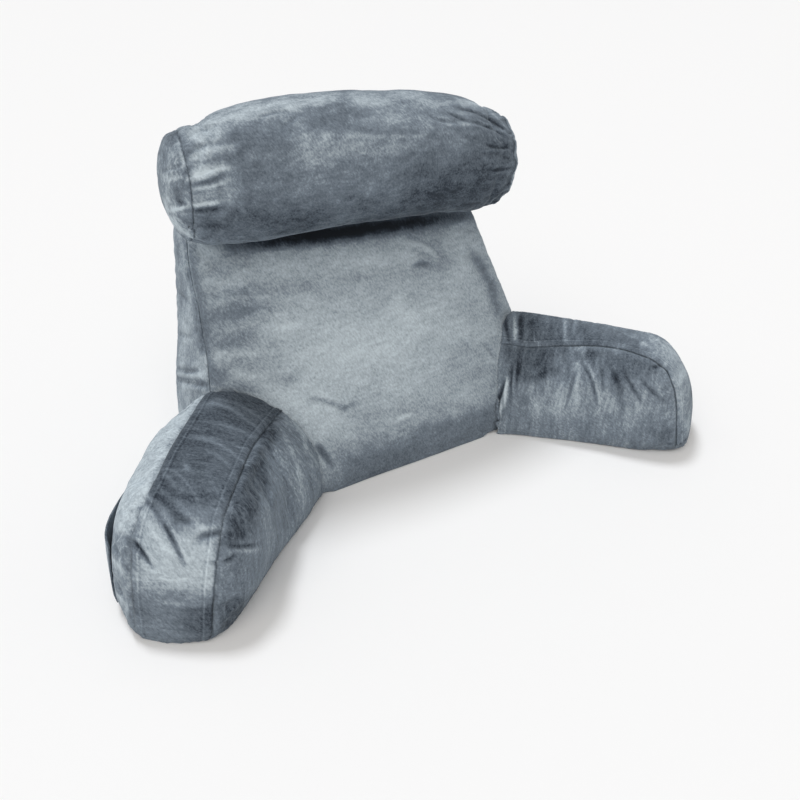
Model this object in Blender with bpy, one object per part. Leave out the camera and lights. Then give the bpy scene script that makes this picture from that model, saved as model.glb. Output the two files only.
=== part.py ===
"""Reading pillow with arms: a leaning back cushion, two splayed arms, a neck roll and an arm pocket.

Metres, +Z up. The origin is in the middle of the back cushion's flat underside. The front faces -Y.
Each cushion is a block with loop cuts, bent to its form by one function of its unit coordinates.
A cloth panel lies flush in a shallow bed in its cushion, with a seam groove along both edges.
"""
import math
from collections import namedtuple
from functools import partial

import bmesh
import bpy
from mathutils import Vector

# Cloth and clearances. Sheets end above the hem height, and cushions turn under at the floor.
CLOTH = 0.0022
GAP = 0.0004
HEM_HEIGHT = 0.0028
TUCK = 0.009
TUCK_HEIGHT = 0.024
TUCK_ROUND = 2
CUTTER_DROP = 0.010

# Back cushion: a wedge that leans back, wide and deep at the floor, narrow at the top.
BACK_HEIGHT = 0.378
BACK_HALF_WIDTH = 0.2487
BACK_TOP_HALF_WIDTH = 0.178
BACK_TAPER_HEIGHT = 0.363
BACK_CORNER = 0.072
BACK_DEPTH = 0.172
BACK_TOP_DEPTH = 0.060
BACK_LEAN = math.tan(math.radians(29.4))
BACK_CROWN = 0.031
BACK_REAR_CROWN = 0.017
BACK_FLOOR_CROWN = 0.60
BACK_CROWN_HEIGHT = 0.138
BACK_CROWN_ACROSS = 2.2
BACK_CROWN_UP = 2.6
BACK_CROWN_POWER = 0.62
BACK_SIDE_BULGE = 0.007
BACK_BULGE_POWER = 7
BACK_FRONT_Y = -BACK_DEPTH / 2

# Arms: loaves that splay from the back's lower corners, each under a band that ends at the floor.
ARM_BASE_X = 0.2424
ARM_SPLAY = math.radians(35.4)
ARM_ROOT = -0.150
ARM_NOSE = 0.0767
ARM_NOSE_POWER = 2.2
ARM_ROOT_HEIGHT = 0.132
ARM_FRONT_HEIGHT = 0.130
ARM_BAND_HALF = 0.0385
ARM_BELLY_ROUND = 2.22
ARM_BELLY_POWER = 0.387
ARM_BELLY_TAPER = 0.35
ARM_BAND_CROWN = 0.05
ARM_ROOT_CROWN = 0.14
ARM_CROWN_EASE = 2
ARM_ROOT_BAND = 0.3
ARM_ROOT_SLOPE = 0.85
ARM_WIDEN_FROM = -0.100
ARM_ROOT_TILT = 0.24
ARM_ROOT_EASE = 1.4
ARM_BELLY_EASE = 1.5

# Widen is added to the inner half of the band at the root. Inner and outer are how far each side
# swells past the band. Sways shift the nose outward, at its top and at its foot.
Arm = namedtuple("Arm", "name side reach widen inner_root inner_front outer sway_top sway_foot")
ARMS = [
    Arm("arm_left", -1, 0.095, 0.014, 0.060, 0.034, 0.042, -0.005, 0.010),
    Arm("arm_right", 1, 0.112, -0.003, 0.080, 0.036, 0.060, 0.000, 0.002),
]

# Neck roll: a barrel with domed ends, gathered at its end seams.
ROLL_HALF_LENGTH = 0.199
ROLL_RADIUS = 0.0755
ROLL_END_RADIUS = 0.0595
ROLL_BARREL_POWER = 2.2
ROLL_DOME = 0.0255
ROLL_DOME_POWER = 0.8
ROLL_BOW = 0.009
ROLL_X = -0.002
ROLL_Y = 0.132 + BACK_FRONT_Y
ROLL_Z = 0.347
ROLL_TILT = math.radians(0.9)
ROLL_YAW = math.radians(-1.5)
ROLL_AROUND = 44
ROLL_RINGS = 28
ROLL_DOME_RINGS = 5

# Gathers: uneven pleats that run in from both end seams and die out along the roll and its dome.
GATHER_DEPTH = 0.0026
GATHER_LENGTH = 0.032
GATHER_CORE = 0.05
GATHERS = 11
FINE_GATHERS = 17
FINE_SHARE = 0.8

# Arm pocket: a patch on the outer side of the left arm, open at its top edge.
POCKET_MOUTH_GAP = 0.0145
POCKET_MOUTH_WAVE = 0.0012
POCKET_WAVES = 2.5
POCKET_WAVE_FADE = 3
POCKET_EASE = 0.55

# Loop cuts, as shares of each block: the first and last cut beside a seam bound the panel's bed.
BACK_CORNER_U = 0.66
BACK_CORNER_W = 0.80
BACK_U_CUTS = [0.0, 0.11, 0.22, 0.33, 0.44, 0.55, 0.66, 0.77, 0.88, 0.96]
BACK_V_CUTS = [0.045, 0.2, 0.35, 0.5, 0.65, 0.8, 0.955]
BACK_W_CUTS = [0.012, 0.04, 0.08, 0.14, 0.2, 0.27, 0.34, 0.41, 0.48, 0.55, 0.62, 0.69, 0.75, 0.8,
               0.86, 0.92, 0.97]
ARM_NOSE_U = 0.66
ARM_U_CUTS = [0.06, 0.12, 0.18, 0.24, 0.30, 0.36, 0.42, 0.48, 0.54, 0.60, 0.66, 0.72, 0.78, 0.84,
              0.90, 0.95]
ARM_V_CUTS = [0.0, 0.3, 0.6, 0.93]
ARM_W_CUTS = [0.035, 0.09, 0.17, 0.27, 0.38, 0.5, 0.62, 0.74, 0.85, 0.94]
POCKET_U = (0.36, 0.84)
POCKET_W = (0.09, 0.62)

ON_FACE = 0.999
NEAR = 0.0001
TINY = 1e-6
SHARP_ANGLE = math.radians(40)

# Soft troughs, each from start to end in its block's unit coordinates. On the roll, the places are
# shares of its length and turns from its top.
Fold = namedtuple("Fold", "block start end width depth")
FOLDS = [
    Fold("arm_left", (0.70, 0.55, 1.0), (0.86, 0.05, 1.0), 0.011, 0.0035),
    Fold("arm_left", (0.80, 0.85, 1.0), (1.0, 0.45, 0.80), 0.010, 0.0035),
    Fold("arm_left", (0.90, -0.9, 1.0), (0.84, -1.0, 0.72), 0.010, 0.0035),
    Fold("arm_left", (0.42, -1.0, 0.86), (0.50, -1.0, 0.25), 0.014, 0.0035),
    Fold("arm_right", (0.42, -0.4, 1.0), (0.40, -1.0, 0.30), 0.015, 0.0040),
    Fold("arm_right", (0.52, -1.0, 0.90), (0.56, -1.0, 0.25), 0.013, 0.0040),
    Fold("arm_right", (0.66, -0.8, 1.0), (0.66, 0.7, 1.0), 0.011, 0.0030),
    Fold("arm_right", (0.74, -1.0, 0.88), (0.70, -1.0, 0.35), 0.012, 0.0035),
    Fold("back", (0.62, 0.0, 0.48), (0.80, 0.0, 0.36), 0.016, 0.0035),
    Fold("back", (-0.45, 0.0, 0.30), (-0.25, 0.0, 0.28), 0.014, 0.0030),
    Fold("back", (-1.0, 0.1, 0.62), (-1.0, 0.8, 0.54), 0.014, 0.0040),
    Fold("back", (-1.0, 0.1, 0.40), (-1.0, 0.9, 0.42), 0.014, 0.0040),
    Fold("back", (1.0, 0.1, 0.55), (1.0, 0.8, 0.48), 0.014, 0.0040),
    Fold("roll", (0.28, 0.70), (0.72, 0.62), 0.014, 0.0030),
    Fold("roll", (0.22, 1.50), (0.40, 1.42), 0.012, 0.0025),
    Fold("roll", (0.66, 0.30), (0.84, 0.45), 0.012, 0.0030),
]
FOLD_STEPS = 12
FOLD_REACH = 3
FOLD_FADE = 0.5

# Cloth finishes: sRGB colour, roughness, metallic.
VELOUR = ("#74818b", 0.85, 0.0)
VELOUR_DARK = ("#5c6770", 0.85, 0.0)
VELOUR_LIGHT = ("#8b98a1", 0.85, 0.0)


def clear_scene():
    for obj in list(bpy.data.objects):
        bpy.data.objects.remove(obj, do_unlink=True)


def make_collection(name):
    collection = bpy.data.collections.new(name)
    bpy.context.scene.collection.children.link(collection)
    return collection


def linear_colour(srgb):
    """Turn a #rrggbb sRGB colour into linear RGBA."""
    channels = [int(srgb[i:i + 2], 16) / 255 for i in (1, 3, 5)]
    linear = [c / 12.92 if c <= 0.04045 else ((c + 0.055) / 1.055) ** 2.4 for c in channels]
    return (*linear, 1.0)


def cloth_material(name, finish):
    srgb, roughness, metallic = finish
    material = bpy.data.materials.new(name)
    material.use_nodes = True
    shader = material.node_tree.nodes["Principled BSDF"]
    shader.inputs["Base Color"].default_value = linear_colour(srgb)
    shader.inputs["Roughness"].default_value = roughness
    shader.inputs["Metallic"].default_value = metallic
    return material


def clamp(value, low=0.0, high=1.0):
    return max(low, min(high, value))


def smooth(value):
    t = clamp(value)
    return t * t * (3 - 2 * t)


def hump(share):
    """0 at both ends and 1 in the middle."""
    return 4 * share * (1 - share)


def mirrored(cuts):
    """A centred list of cuts from its positive half."""
    return sorted({sign * cut for cut in cuts for sign in (-1, 1)})


def round_corner(a, b, power=2.0):
    """Bend a unit square onto a quarter superellipse, its far corner on the middle of the curve."""
    x = a * math.sqrt(1 - b * b / 2)
    y = b * math.sqrt(1 - a * a / 2)
    reach = math.hypot(x, y)
    if reach == 0:
        return x, y
    stretch = ((x / reach) ** power + (y / reach) ** power) ** (-1 / power)
    return x * stretch, y * stretch


def tuck_at(z):
    """How far a side is drawn in where it turns under at the floor."""
    return TUCK * clamp(1 - z / TUCK_HEIGHT) ** TUCK_ROUND


# Forms: each turns unit coordinates (u across or along, v across or deep, w up) into a point.

def back_half_width(z):
    share = clamp(1 - z / BACK_TAPER_HEIGHT)
    return BACK_TOP_HALF_WIDTH + (BACK_HALF_WIDTH - BACK_TOP_HALF_WIDTH) * share


def back_front(z):
    return BACK_FRONT_Y + z * BACK_LEAN


def back_rear(z):
    return back_front(z) + BACK_DEPTH + (BACK_TOP_DEPTH - BACK_DEPTH) * z / BACK_HEIGHT


def back_form(u, v, w):
    a = (abs(u) - BACK_CORNER_U) / (1 - BACK_CORNER_U)
    b = (w - BACK_CORNER_W) / (1 - BACK_CORNER_W)
    if a > 0 and b > 0:
        a, b = round_corner(a, b)
    a, b = max(a, 0), max(b, 0)
    z = (BACK_HEIGHT - BACK_CORNER) * min(w / BACK_CORNER_W, 1) + BACK_CORNER * b
    flat = back_half_width(z) - BACK_CORNER
    x = flat * min(abs(u) / BACK_CORNER_U, 1) + BACK_CORNER * a - tuck_at(z) * abs(u)
    crown = ((1 - abs(u) ** BACK_CROWN_ACROSS) * (1 - w ** BACK_CROWN_UP)) ** BACK_CROWN_POWER
    crown *= BACK_FLOOR_CROWN + (1 - BACK_FLOOR_CROWN) * clamp(z / BACK_CROWN_HEIGHT)
    front = back_front(z) - BACK_CROWN * crown + tuck_at(z)
    rear = back_rear(z) + BACK_REAR_CROWN * crown - tuck_at(z)
    bulge = BACK_SIDE_BULGE * hump(v)
    x += bulge * abs(u) ** BACK_BULGE_POWER * smooth(z / TUCK_HEIGHT)
    z += bulge * w ** BACK_BULGE_POWER
    return Vector((math.copysign(x, u), front + (rear - front) * v, z))


def arm_form(arm, u, v, w):
    """The arm along -Y from its root, with its outer side at +v."""
    along = ARM_ROOT + (arm.reach - ARM_ROOT) * min(u / ARM_NOSE_U, 1)
    nose, rise = round_corner(max(u - ARM_NOSE_U, 0) / (1 - ARM_NOSE_U), w, ARM_NOSE_POWER)
    forward = clamp(along / arm.reach)
    rooted = smooth(ARM_ROOT_EASE * (1 - along / ARM_ROOT))
    rearward = 1 - clamp((along - ARM_WIDEN_FROM) / (arm.reach - ARM_WIDEN_FROM))
    out = nose * ARM_NOSE
    z = rise * (ARM_ROOT_HEIGHT + (ARM_FRONT_HEIGHT - ARM_ROOT_HEIGHT) * forward)
    edge = (nose ** ARM_NOSE_POWER + rise ** ARM_NOSE_POWER) ** (1 / ARM_NOSE_POWER)
    lean = out / max(math.hypot(out, z), TINY)
    belly = clamp(1 - edge ** ARM_BELLY_ROUND) ** ARM_BELLY_POWER * (1 - ARM_BELLY_TAPER * edge * lean)
    if v > 0:
        side = arm.outer * rooted
        band = ARM_BAND_HALF * (ARM_ROOT_BAND + (1 - ARM_ROOT_BAND) * rooted)
    else:
        side = arm.inner_front + (arm.inner_root - arm.inner_front) * rearward ** ARM_BELLY_EASE
        band = ARM_BAND_HALF + arm.widen * rearward
        belly *= 1 - ARM_ROOT_SLOPE * rearward * edge
    reach = abs(v) * (band + side * belly - tuck_at(z))
    crown = ARM_BAND_CROWN + (ARM_ROOT_CROWN - ARM_BAND_CROWN) * rearward ** ARM_CROWN_EASE
    swell = 1 + crown * (1 - v * v)
    z *= swell * (1 - ARM_ROOT_TILT * rearward * (1 - v) / 2)
    sway = (arm.sway_foot + (arm.sway_top - arm.sway_foot) * rise) * forward
    return Vector(((math.copysign(reach, v) + sway) * arm.side, -(along + out * swell), z))


def roll_form(lengthwise, turn):
    """A point on the roll: lengthwise runs 0 to 1 from pole to pole, turn is an angle from +Z."""
    dome = ROLL_DOME_RINGS / ROLL_RINGS
    end = math.copysign(1, lengthwise - 0.5)
    from_end = min(lengthwise, 1 - lengthwise)
    if from_end < dome:
        angle = (1 - from_end / dome) * math.pi / 2
        x = ROLL_HALF_LENGTH + ROLL_DOME * math.sin(angle)
        radius = ROLL_END_RADIUS * max(math.cos(angle), 0) ** ROLL_DOME_POWER
        to_seam = (1 - from_end / dome) * ROLL_END_RADIUS
    else:
        share = 1 - (from_end - dome) / (0.5 - dome)
        x = ROLL_HALF_LENGTH * share
        radius = ROLL_RADIUS - (ROLL_RADIUS - ROLL_END_RADIUS) * share ** ROLL_BARREL_POWER
        to_seam = ROLL_HALF_LENGTH - x
    waves = math.cos(GATHERS * turn + end) + FINE_SHARE * math.cos(FINE_GATHERS * turn - 2 * end) - 1
    fade = math.exp(-(to_seam / GATHER_LENGTH) ** 2) * smooth(radius / GATHER_CORE)
    radius += GATHER_DEPTH * waves * fade
    bow = ROLL_BOW * (1 - clamp(x / ROLL_HALF_LENGTH) ** 2)
    return Vector((end * x, -radius * math.sin(turn), radius * math.cos(turn) + bow))


# Blocks: primitives with loop cuts, whose unit coordinates are kept in a layer.

def cut_block(u_cuts, v_cuts, w_cuts, low):
    """A cube from the corner low to (1, 1, 1), with a loop cut at each named place."""
    bm = bmesh.new()
    bmesh.ops.create_cube(bm, size=1)
    low = Vector(low)
    size = Vector((1, 1, 1)) - low
    for vert in bm.verts:
        vert.co = low + Vector((vert.co[i] + 0.5) * size[i] for i in range(3))
    for axis, cuts in enumerate((u_cuts, v_cuts, w_cuts)):
        direction = Vector([float(i == axis) for i in range(3)])
        for cut in cuts:
            parts = bm.verts[:] + bm.edges[:] + bm.faces[:]
            bmesh.ops.bisect_plane(bm, geom=parts, plane_co=direction * cut, plane_no=direction)
    return bm


def bend_block(bm, form):
    """Move each vertex to its place on the form and keep its unit coordinates."""
    unit = bm.verts.layers.float_vector.new("unit")
    for vert in bm.verts:
        vert[unit] = vert.co
        vert.co = form(*vert.co)


def bend_ball(bm):
    """Bend a UV sphere, its poles at the roll's two ends, to the roll's form."""
    unit = bm.verts.layers.float_vector.new("unit")
    for vert in bm.verts:
        lengthwise = math.acos(clamp(-vert.co.z, -1, 1)) / math.pi
        turn = math.atan2(vert.co.x, vert.co.y)
        vert[unit] = Vector((2 * lengthwise - 1, math.sin(turn), math.cos(turn)))
        vert.co = roll_form(lengthwise, turn)


def press_folds(bm, block, place):
    """Sink each of the block's folds as a soft trough that fades at both ends."""
    bmesh.ops.recalc_face_normals(bm, faces=bm.faces)
    bm.normal_update()
    normals = {vert: vert.normal.copy() for vert in bm.verts}
    for fold in (row for row in FOLDS if row.block == block):
        start, end = Vector(fold.start), Vector(fold.end)
        line = [place(*start.lerp(end, i / FOLD_STEPS)) for i in range(FOLD_STEPS + 1)]
        for vert in bm.verts:
            away, step = min(((vert.co - point).length, i) for i, point in enumerate(line))
            fade = math.sin(math.pi * (step + 0.5) / (FOLD_STEPS + 1)) ** FOLD_FADE
            if away < FOLD_REACH * fold.width:
                sink = fold.depth * fade * math.exp(-(away / fold.width) ** 2)
                vert.co -= normals[vert] * sink


def settle(bm):
    """Keep each vertex's outward direction, along which beds sink and cloth lies, and fix each
    face's diagonal, so that a bed, its cloth and a cutter made from one block agree."""
    bmesh.ops.recalc_face_normals(bm, faces=bm.faces)
    bm.normal_update()
    outward = bm.verts.layers.float_vector.new("outward")
    for vert in bm.verts:
        vert[outward] = vert.normal
    bmesh.ops.triangulate(bm, faces=bm.faces)


def panel_faces(bm, in_panel):
    unit = bm.verts.layers.float_vector["unit"]
    return [face for face in bm.faces if in_panel([(vert[unit], vert.co) for vert in face.verts])]


def sink_bed(bm, in_panel):
    """Sink the bed in which a panel lies flush."""
    outward = bm.verts.layers.float_vector["outward"]
    bed = {vert for face in panel_faces(bm, in_panel) for vert in face.verts}
    for vert in bed:
        vert.co -= vert[outward] * (CLOTH + GAP)


def lift_sheet(bm, in_panel, lift):
    """The panel's cloth: its faces, raised by lift(unit) and given the cloth's thickness."""
    sheet = bm.copy()
    kept = set(panel_faces(sheet, in_panel))
    bmesh.ops.delete(sheet, geom=[face for face in sheet.faces if face not in kept], context="FACES")
    unit = sheet.verts.layers.float_vector["unit"]
    outward = sheet.verts.layers.float_vector["outward"]
    for vert in sheet.verts:
        vert.co += vert[outward] * lift(vert[unit])
    raised = bmesh.ops.extrude_face_region(sheet, geom=sheet.faces[:], use_keep_orig=True)["geom"]
    for vert in (part for part in raised if isinstance(part, bmesh.types.BMVert)):
        vert.co += vert[outward] * CLOTH
    bmesh.ops.recalc_face_normals(sheet, faces=sheet.faces)
    return sheet


# Panels: each takes a face's (unit coordinates, point) pairs and says whether the face is cloth.

def above_hem(corners):
    return all(point.z > HEM_HEIGHT for _, point in corners)


def in_gusset(corners):
    inside = all(BACK_V_CUTS[0] - NEAR < unit.y < BACK_V_CUTS[-1] + NEAR for unit, _ in corners)
    on_side = any(all(sign * unit.x > ON_FACE for unit, _ in corners) for sign in (-1, 1))
    on_top = all(unit.z > ON_FACE for unit, _ in corners)
    return inside and (on_side or on_top) and above_hem(corners)


def in_band(corners):
    inside = all(abs(unit.y) < ARM_V_CUTS[-1] + NEAR for unit, _ in corners)
    on_top = all(unit.z > ON_FACE for unit, _ in corners)
    on_nose = all(unit.x > ON_FACE for unit, _ in corners)
    return inside and (on_top or on_nose) and above_hem(corners)


def in_end(end):
    seam = 1 - 2 * (ROLL_DOME_RINGS - 1) / ROLL_RINGS
    return lambda corners: all(end * unit.x > seam - NEAR for unit, _ in corners)


def in_pocket(corners):
    return all(unit.y > ON_FACE
               and POCKET_U[0] - NEAR < unit.x < POCKET_U[1] + NEAR
               and POCKET_W[0] - NEAR < unit.z < POCKET_W[1] + NEAR
               for unit, _ in corners)


def flush(_):
    return -CLOTH


def pocket_lift(unit):
    """The pocket lies on the arm at its sewn edges and stands off at its mouth."""
    across = (unit.x - POCKET_U[0]) / (POCKET_U[1] - POCKET_U[0])
    up = (unit.z - POCKET_W[0]) / (POCKET_W[1] - POCKET_W[0])
    ease = (math.sin(math.pi * clamp(across)) * clamp(up)) ** POCKET_EASE
    wave = POCKET_MOUTH_WAVE * math.sin(math.tau * POCKET_WAVES * across)
    wave *= clamp(up) ** POCKET_WAVE_FADE
    return GAP + (POCKET_MOUTH_GAP + wave) * ease


# Objects.

def mesh_object(name, bm, collection, material=None):
    mesh = bpy.data.meshes.new(name)
    bm.to_mesh(mesh)
    bm.free()
    mesh.shade_smooth()
    mesh.set_sharp_from_angle(angle=SHARP_ANGLE)
    if material:
        mesh.materials.append(material)
    obj = bpy.data.objects.new(name, mesh)
    collection.objects.link(obj)
    return obj


def add_object(name, bm, model, finish, location=(0, 0, 0), rotation=(0, 0, 0)):
    obj = mesh_object(name, bm, model["parts"], model[finish])
    obj.location = location
    obj.rotation_euler = rotation
    obj.parent = model["frame"]
    return obj


def trim(obj, cutter):
    """Cut the object back so that it seats on the cutter's owner."""
    modifier = obj.modifiers.new("seat", "BOOLEAN")
    modifier.operation = "DIFFERENCE"
    modifier.solver = "EXACT"
    modifier.object = cutter


def back_block():
    bm = cut_block(mirrored(BACK_U_CUTS), BACK_V_CUTS, BACK_W_CUTS, low=(-1, 0, 0))
    bend_block(bm, back_form)
    press_folds(bm, "back", back_form)
    settle(bm)
    return bm


def add_back(model):
    bm = back_block()
    gusset = lift_sheet(bm, in_gusset, flush)
    add_object("back_gusset", gusset, model, "light")
    sink_bed(bm, in_gusset)
    return add_object("back_cushion", bm, model, "mid")


def add_back_clearance(model):
    """The back's outer form, grown by the seating gap: what leans on the back is cut by it."""
    bm = back_block()
    outward = bm.verts.layers.float_vector["outward"]
    for vert in bm.verts:
        on_floor = vert.co.z < NEAR
        vert.co += vert[outward] * GAP
        if on_floor:
            vert.co.z = -CUTTER_DROP
    cutter = mesh_object("back_clearance", bm, model["cutters"])
    cutter.hide_render = True
    cutter.display_type = "WIRE"
    return cutter


def add_arm(model, arm):
    """One arm with its band, cut to seat on the back; the left one carries the pocket."""
    form = partial(arm_form, arm)
    bm = cut_block(ARM_U_CUTS, mirrored(ARM_V_CUTS), ARM_W_CUTS, low=(0, -1, 0))
    bend_block(bm, form)
    press_folds(bm, arm.name, form)
    settle(bm)
    place = {
        "location": (arm.side * ARM_BASE_X, BACK_FRONT_Y, 0),
        "rotation": (0, 0, arm.side * ARM_SPLAY),
    }
    band = add_object(arm.name + "_band", lift_sheet(bm, in_band, flush), model, "dark", **place)
    if arm.side < 0:
        pocket = lift_sheet(bm, in_pocket, pocket_lift)
        add_object(arm.name + "_pocket", pocket, model, "light", **place)
    sink_bed(bm, in_band)
    cushion = add_object(arm.name + "_cushion", bm, model, "mid", **place)
    for piece in (band, cushion):
        trim(piece, model["clearance"])


def add_roll(model):
    bm = bmesh.new()
    bmesh.ops.create_uvsphere(bm, u_segments=ROLL_AROUND, v_segments=ROLL_RINGS, radius=1)
    bend_ball(bm)
    press_folds(bm, "roll", roll_form)
    settle(bm)
    place = {
        "location": (ROLL_X, ROLL_Y, ROLL_Z),
        "rotation": (0, ROLL_TILT, ROLL_YAW),
    }
    for end, name in ((-1, "left"), (1, "right")):
        disc = lift_sheet(bm, in_end(end), flush)
        add_object("neck_roll_end_" + name, disc, model, "light", **place)
        sink_bed(bm, in_end(end))
    cushion = add_object("neck_roll_cushion", bm, model, "mid", **place)
    trim(cushion, model["clearance"])


def main():
    clear_scene()
    model = {
        "parts": make_collection("reading_pillow"),
        "cutters": make_collection("cutters"),
        "mid": cloth_material("velour", VELOUR),
        "dark": cloth_material("velour_dark", VELOUR_DARK),
        "light": cloth_material("velour_light", VELOUR_LIGHT),
    }
    model["frame"] = bpy.data.objects.new("pillow_frame", None)
    model["parts"].objects.link(model["frame"])
    add_back(model)
    model["clearance"] = add_back_clearance(model)
    for arm in ARMS:
        add_arm(model, arm)
    add_roll(model)


main()
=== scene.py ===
"""Looks of the velour reading pillow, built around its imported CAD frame.

Metres, +Z up, the front faces -Y. Sheets are smoothed from the frame's own cloth solids, cushions are
remeshed and swollen with cloth pressure, and seams, gathers and creases are pressed in afterwards.
"""

import math
import random
from collections import namedtuple

import bmesh
import bpy
import numpy as np
from bpy.props import FloatProperty, FloatVectorProperty, PointerProperty
from mathutils import Euler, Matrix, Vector, noise
from mathutils.bvhtree import BVHTree
from mathutils.kdtree import KDTree


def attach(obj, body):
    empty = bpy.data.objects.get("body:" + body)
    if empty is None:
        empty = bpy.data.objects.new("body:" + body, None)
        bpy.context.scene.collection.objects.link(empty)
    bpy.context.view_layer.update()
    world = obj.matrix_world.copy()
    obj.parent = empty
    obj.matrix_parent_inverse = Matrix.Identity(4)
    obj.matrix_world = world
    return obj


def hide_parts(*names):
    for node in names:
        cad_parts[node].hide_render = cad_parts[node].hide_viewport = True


bl_info = {
    "name": "Velour Reading Pillow",
    "version": (1, 0, 0),
    "blender": (4, 5, 0),
    "location": "View3D > Sidebar > Pillow",
    "description": "Dresses the reading pillow's frame in velour cushions, bands and sheets",
    "category": "Object",
}

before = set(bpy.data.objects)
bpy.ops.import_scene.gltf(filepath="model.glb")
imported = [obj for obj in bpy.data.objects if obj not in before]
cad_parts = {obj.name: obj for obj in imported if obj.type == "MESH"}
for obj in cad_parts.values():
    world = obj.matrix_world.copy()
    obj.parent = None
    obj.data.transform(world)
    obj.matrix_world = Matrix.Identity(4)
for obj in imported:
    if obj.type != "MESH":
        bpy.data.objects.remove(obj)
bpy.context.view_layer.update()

MM = 0.001
MERGE = 1e-6
TINY = 1e-12
SHARP = math.radians(45)
CLEAR = 0.4 * MM

# Sheet edges: seams are walked in steps, and a hem is any edge that low. A sheet's end joins a cushion
# within reach of it where it is that near to it or faces it that squarely.
SEAM_STEP = 1.0 * MM
HEM_TOP = 6.0 * MM
JUNCTION_REACH = 12.0 * MM
END_GAP = 4.0 * MM
END_FACING = 0.6
END_ROUNDS = 40
END_RIM_SHARE = 0.5
END_CLOTH_SHARE = 0.3
EASE_REACH = 9.0 * MM

# Across a sewn edge: how wide the roll-in is, and where the seam allowance rises, ends and fades.
ROLL_IN_WIDTH = 2.2 * MM
ALLOWANCE_RISE = 3 * MM
ALLOWANCE_END = 8 * MM
ALLOWANCE_FADE = 2 * MM

# The camera: where it stands, how far it turns right of +Y and looks down, and its focal length.
FRAME_PIXELS = 800
FOCAL_PIXELS = 705.8
SENSOR_MM = 36
CAMERA_AT = Vector((-0.4139, -0.7262, 0.5298))
CAMERA_TURN = math.radians(31.89)
CAMERA_DROP = math.radians(29.93)

# Other sights, for marks on hidden sides: turn and drop of a level gaze at the pillow's middle, in mm.
Sight = namedtuple("Sight", "turn drop")
SIGHTS = {
    "rear": Sight(180, 10),
    "right": Sight(285, 15),
    "left": Sight(75, 15),
}
SIGHT_MIDDLE = Vector((0, 0, 0.18))
SIGHT_FAR = 2.0
FACING = 0.12

# Where a sight's line misses a surface, the nearest point to it is sought in steps along the line.
SEEK_FROM = 0.4
SEEK_STEP = 0.01
SEEK_COUNT = 200


def marks(kind, table):
    """Rows of one kind, from a table whose keys are the piece and the sight that its rows share."""
    return [kind(*key, *values) for key, rows in table.items() for values in rows]


# Sheets: each names its CAD node, the cushion below it, its cut size, how finely it is divided, how
# far its edge rolls in, how proud its seam allowance lies and how much it keeps of its stand-off.
Sheet = namedtuple("Sheet", "name node core slot finish flat area held divisions edge allowance close")
GUSSETS = [
    Sheet("velour_gusset", "back_gusset", "back_cushion", "velour_gusset", "gusset",
          (0.158, 1.12), 0.101, "stretched", 3, 0.7, 0.3, 1.0),
]
BANDS = [
    Sheet("velour_band_left", "arm_left_band", "arm_left_cushion", "velour_band", "band_left",
          (0.094, 0.33), 0.0265, "stretched", 3, 1.1, 0.6, 1.0),
    Sheet("velour_band_right", "arm_right_band", "arm_right_cushion", "velour_band", "band_right",
          (0.094, 0.34), 0.028, "stretched", 3, 1.1, 0.6, 1.0),
]
ROLL_ENDS = [
    Sheet("velour_roll_end_left", "neck_roll_end_left", "neck_roll_cushion", "velour_roll", "roll_end",
          (0.125, 0.125), 0.0111, "gathered", 3, 1.0, 0.0, 1.0),
    Sheet("velour_roll_end_right", "neck_roll_end_right", "neck_roll_cushion", "velour_roll", "roll_end",
          (0.125, 0.125), 0.0111, "gathered", 3, 1.0, 0.0, 1.0),
]
POCKETS = [
    Sheet("velour_pocket", "arm_left_pocket", "arm_left_cushion", "velour_gusset", "pocket",
          (0.160, 0.085), 0.0122, "stretched", 3, 0.0, 0.0, 0.6),
]
SHEETS = GUSSETS + BANDS + ROLL_ENDS + POCKETS

# Cushions: the CAD nodes fused into one form, the sheets they lie under and the remeshing size.
Cushion = namedtuple("Cushion", "name node fused slot finish voxel fill")
BACKS = [
    Cushion("velour_back", "back_cushion", ["back_gusset"], "velour_panel", "panel", 5.5, 0.8),
]
ARMS = [
    Cushion("velour_arm_left", "arm_left_cushion", ["arm_left_band"], "velour_panel", "arm_left", 3.6, 0.8),
    Cushion("velour_arm_right", "arm_right_cushion", ["arm_right_band"], "velour_panel", "arm_right",
            3.6, 0.8),
]
ROLLS = [
    Cushion("velour_roll", "neck_roll_cushion", ["neck_roll_end_left", "neck_roll_end_right"],
            "velour_roll", "roll", 3.9, 0.85),
]
CUSHIONS = BACKS + ARMS + ROLLS

# Plumper or slacker places of a part: where the camera sees each, how far it reaches, and its push to
# the camera's right and up, all in mm but the place.
Bulge = namedtuple("Bulge", "part place reach push")
BULGES = [
    Bulge("arm_left", (176, 436), 55, (-15, 3)),
    Bulge("arm_left", (150, 478), 44, (-8, 1)),
    Bulge("arm_left", (118, 535), 44, (-4, 0)),
    Bulge("arm_left", (306, 450), 44, (16, -3)),
    Bulge("arm_right", (681, 350), 34, (-6, -3)),
    Bulge("neck_roll", (262, 100), 100, (0, 4)),
    Bulge("neck_roll", (450, 102), 75, (1, 5)),
    Bulge("neck_roll", (478, 204), 55, (2, -9)),
    Bulge("neck_roll", (250, 238), 50, (0, -7)),
    Bulge("neck_roll", (206, 236), 26, (0, -4)),
    Bulge("back", (181, 385), 55, (-6, 0)),
]

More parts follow.
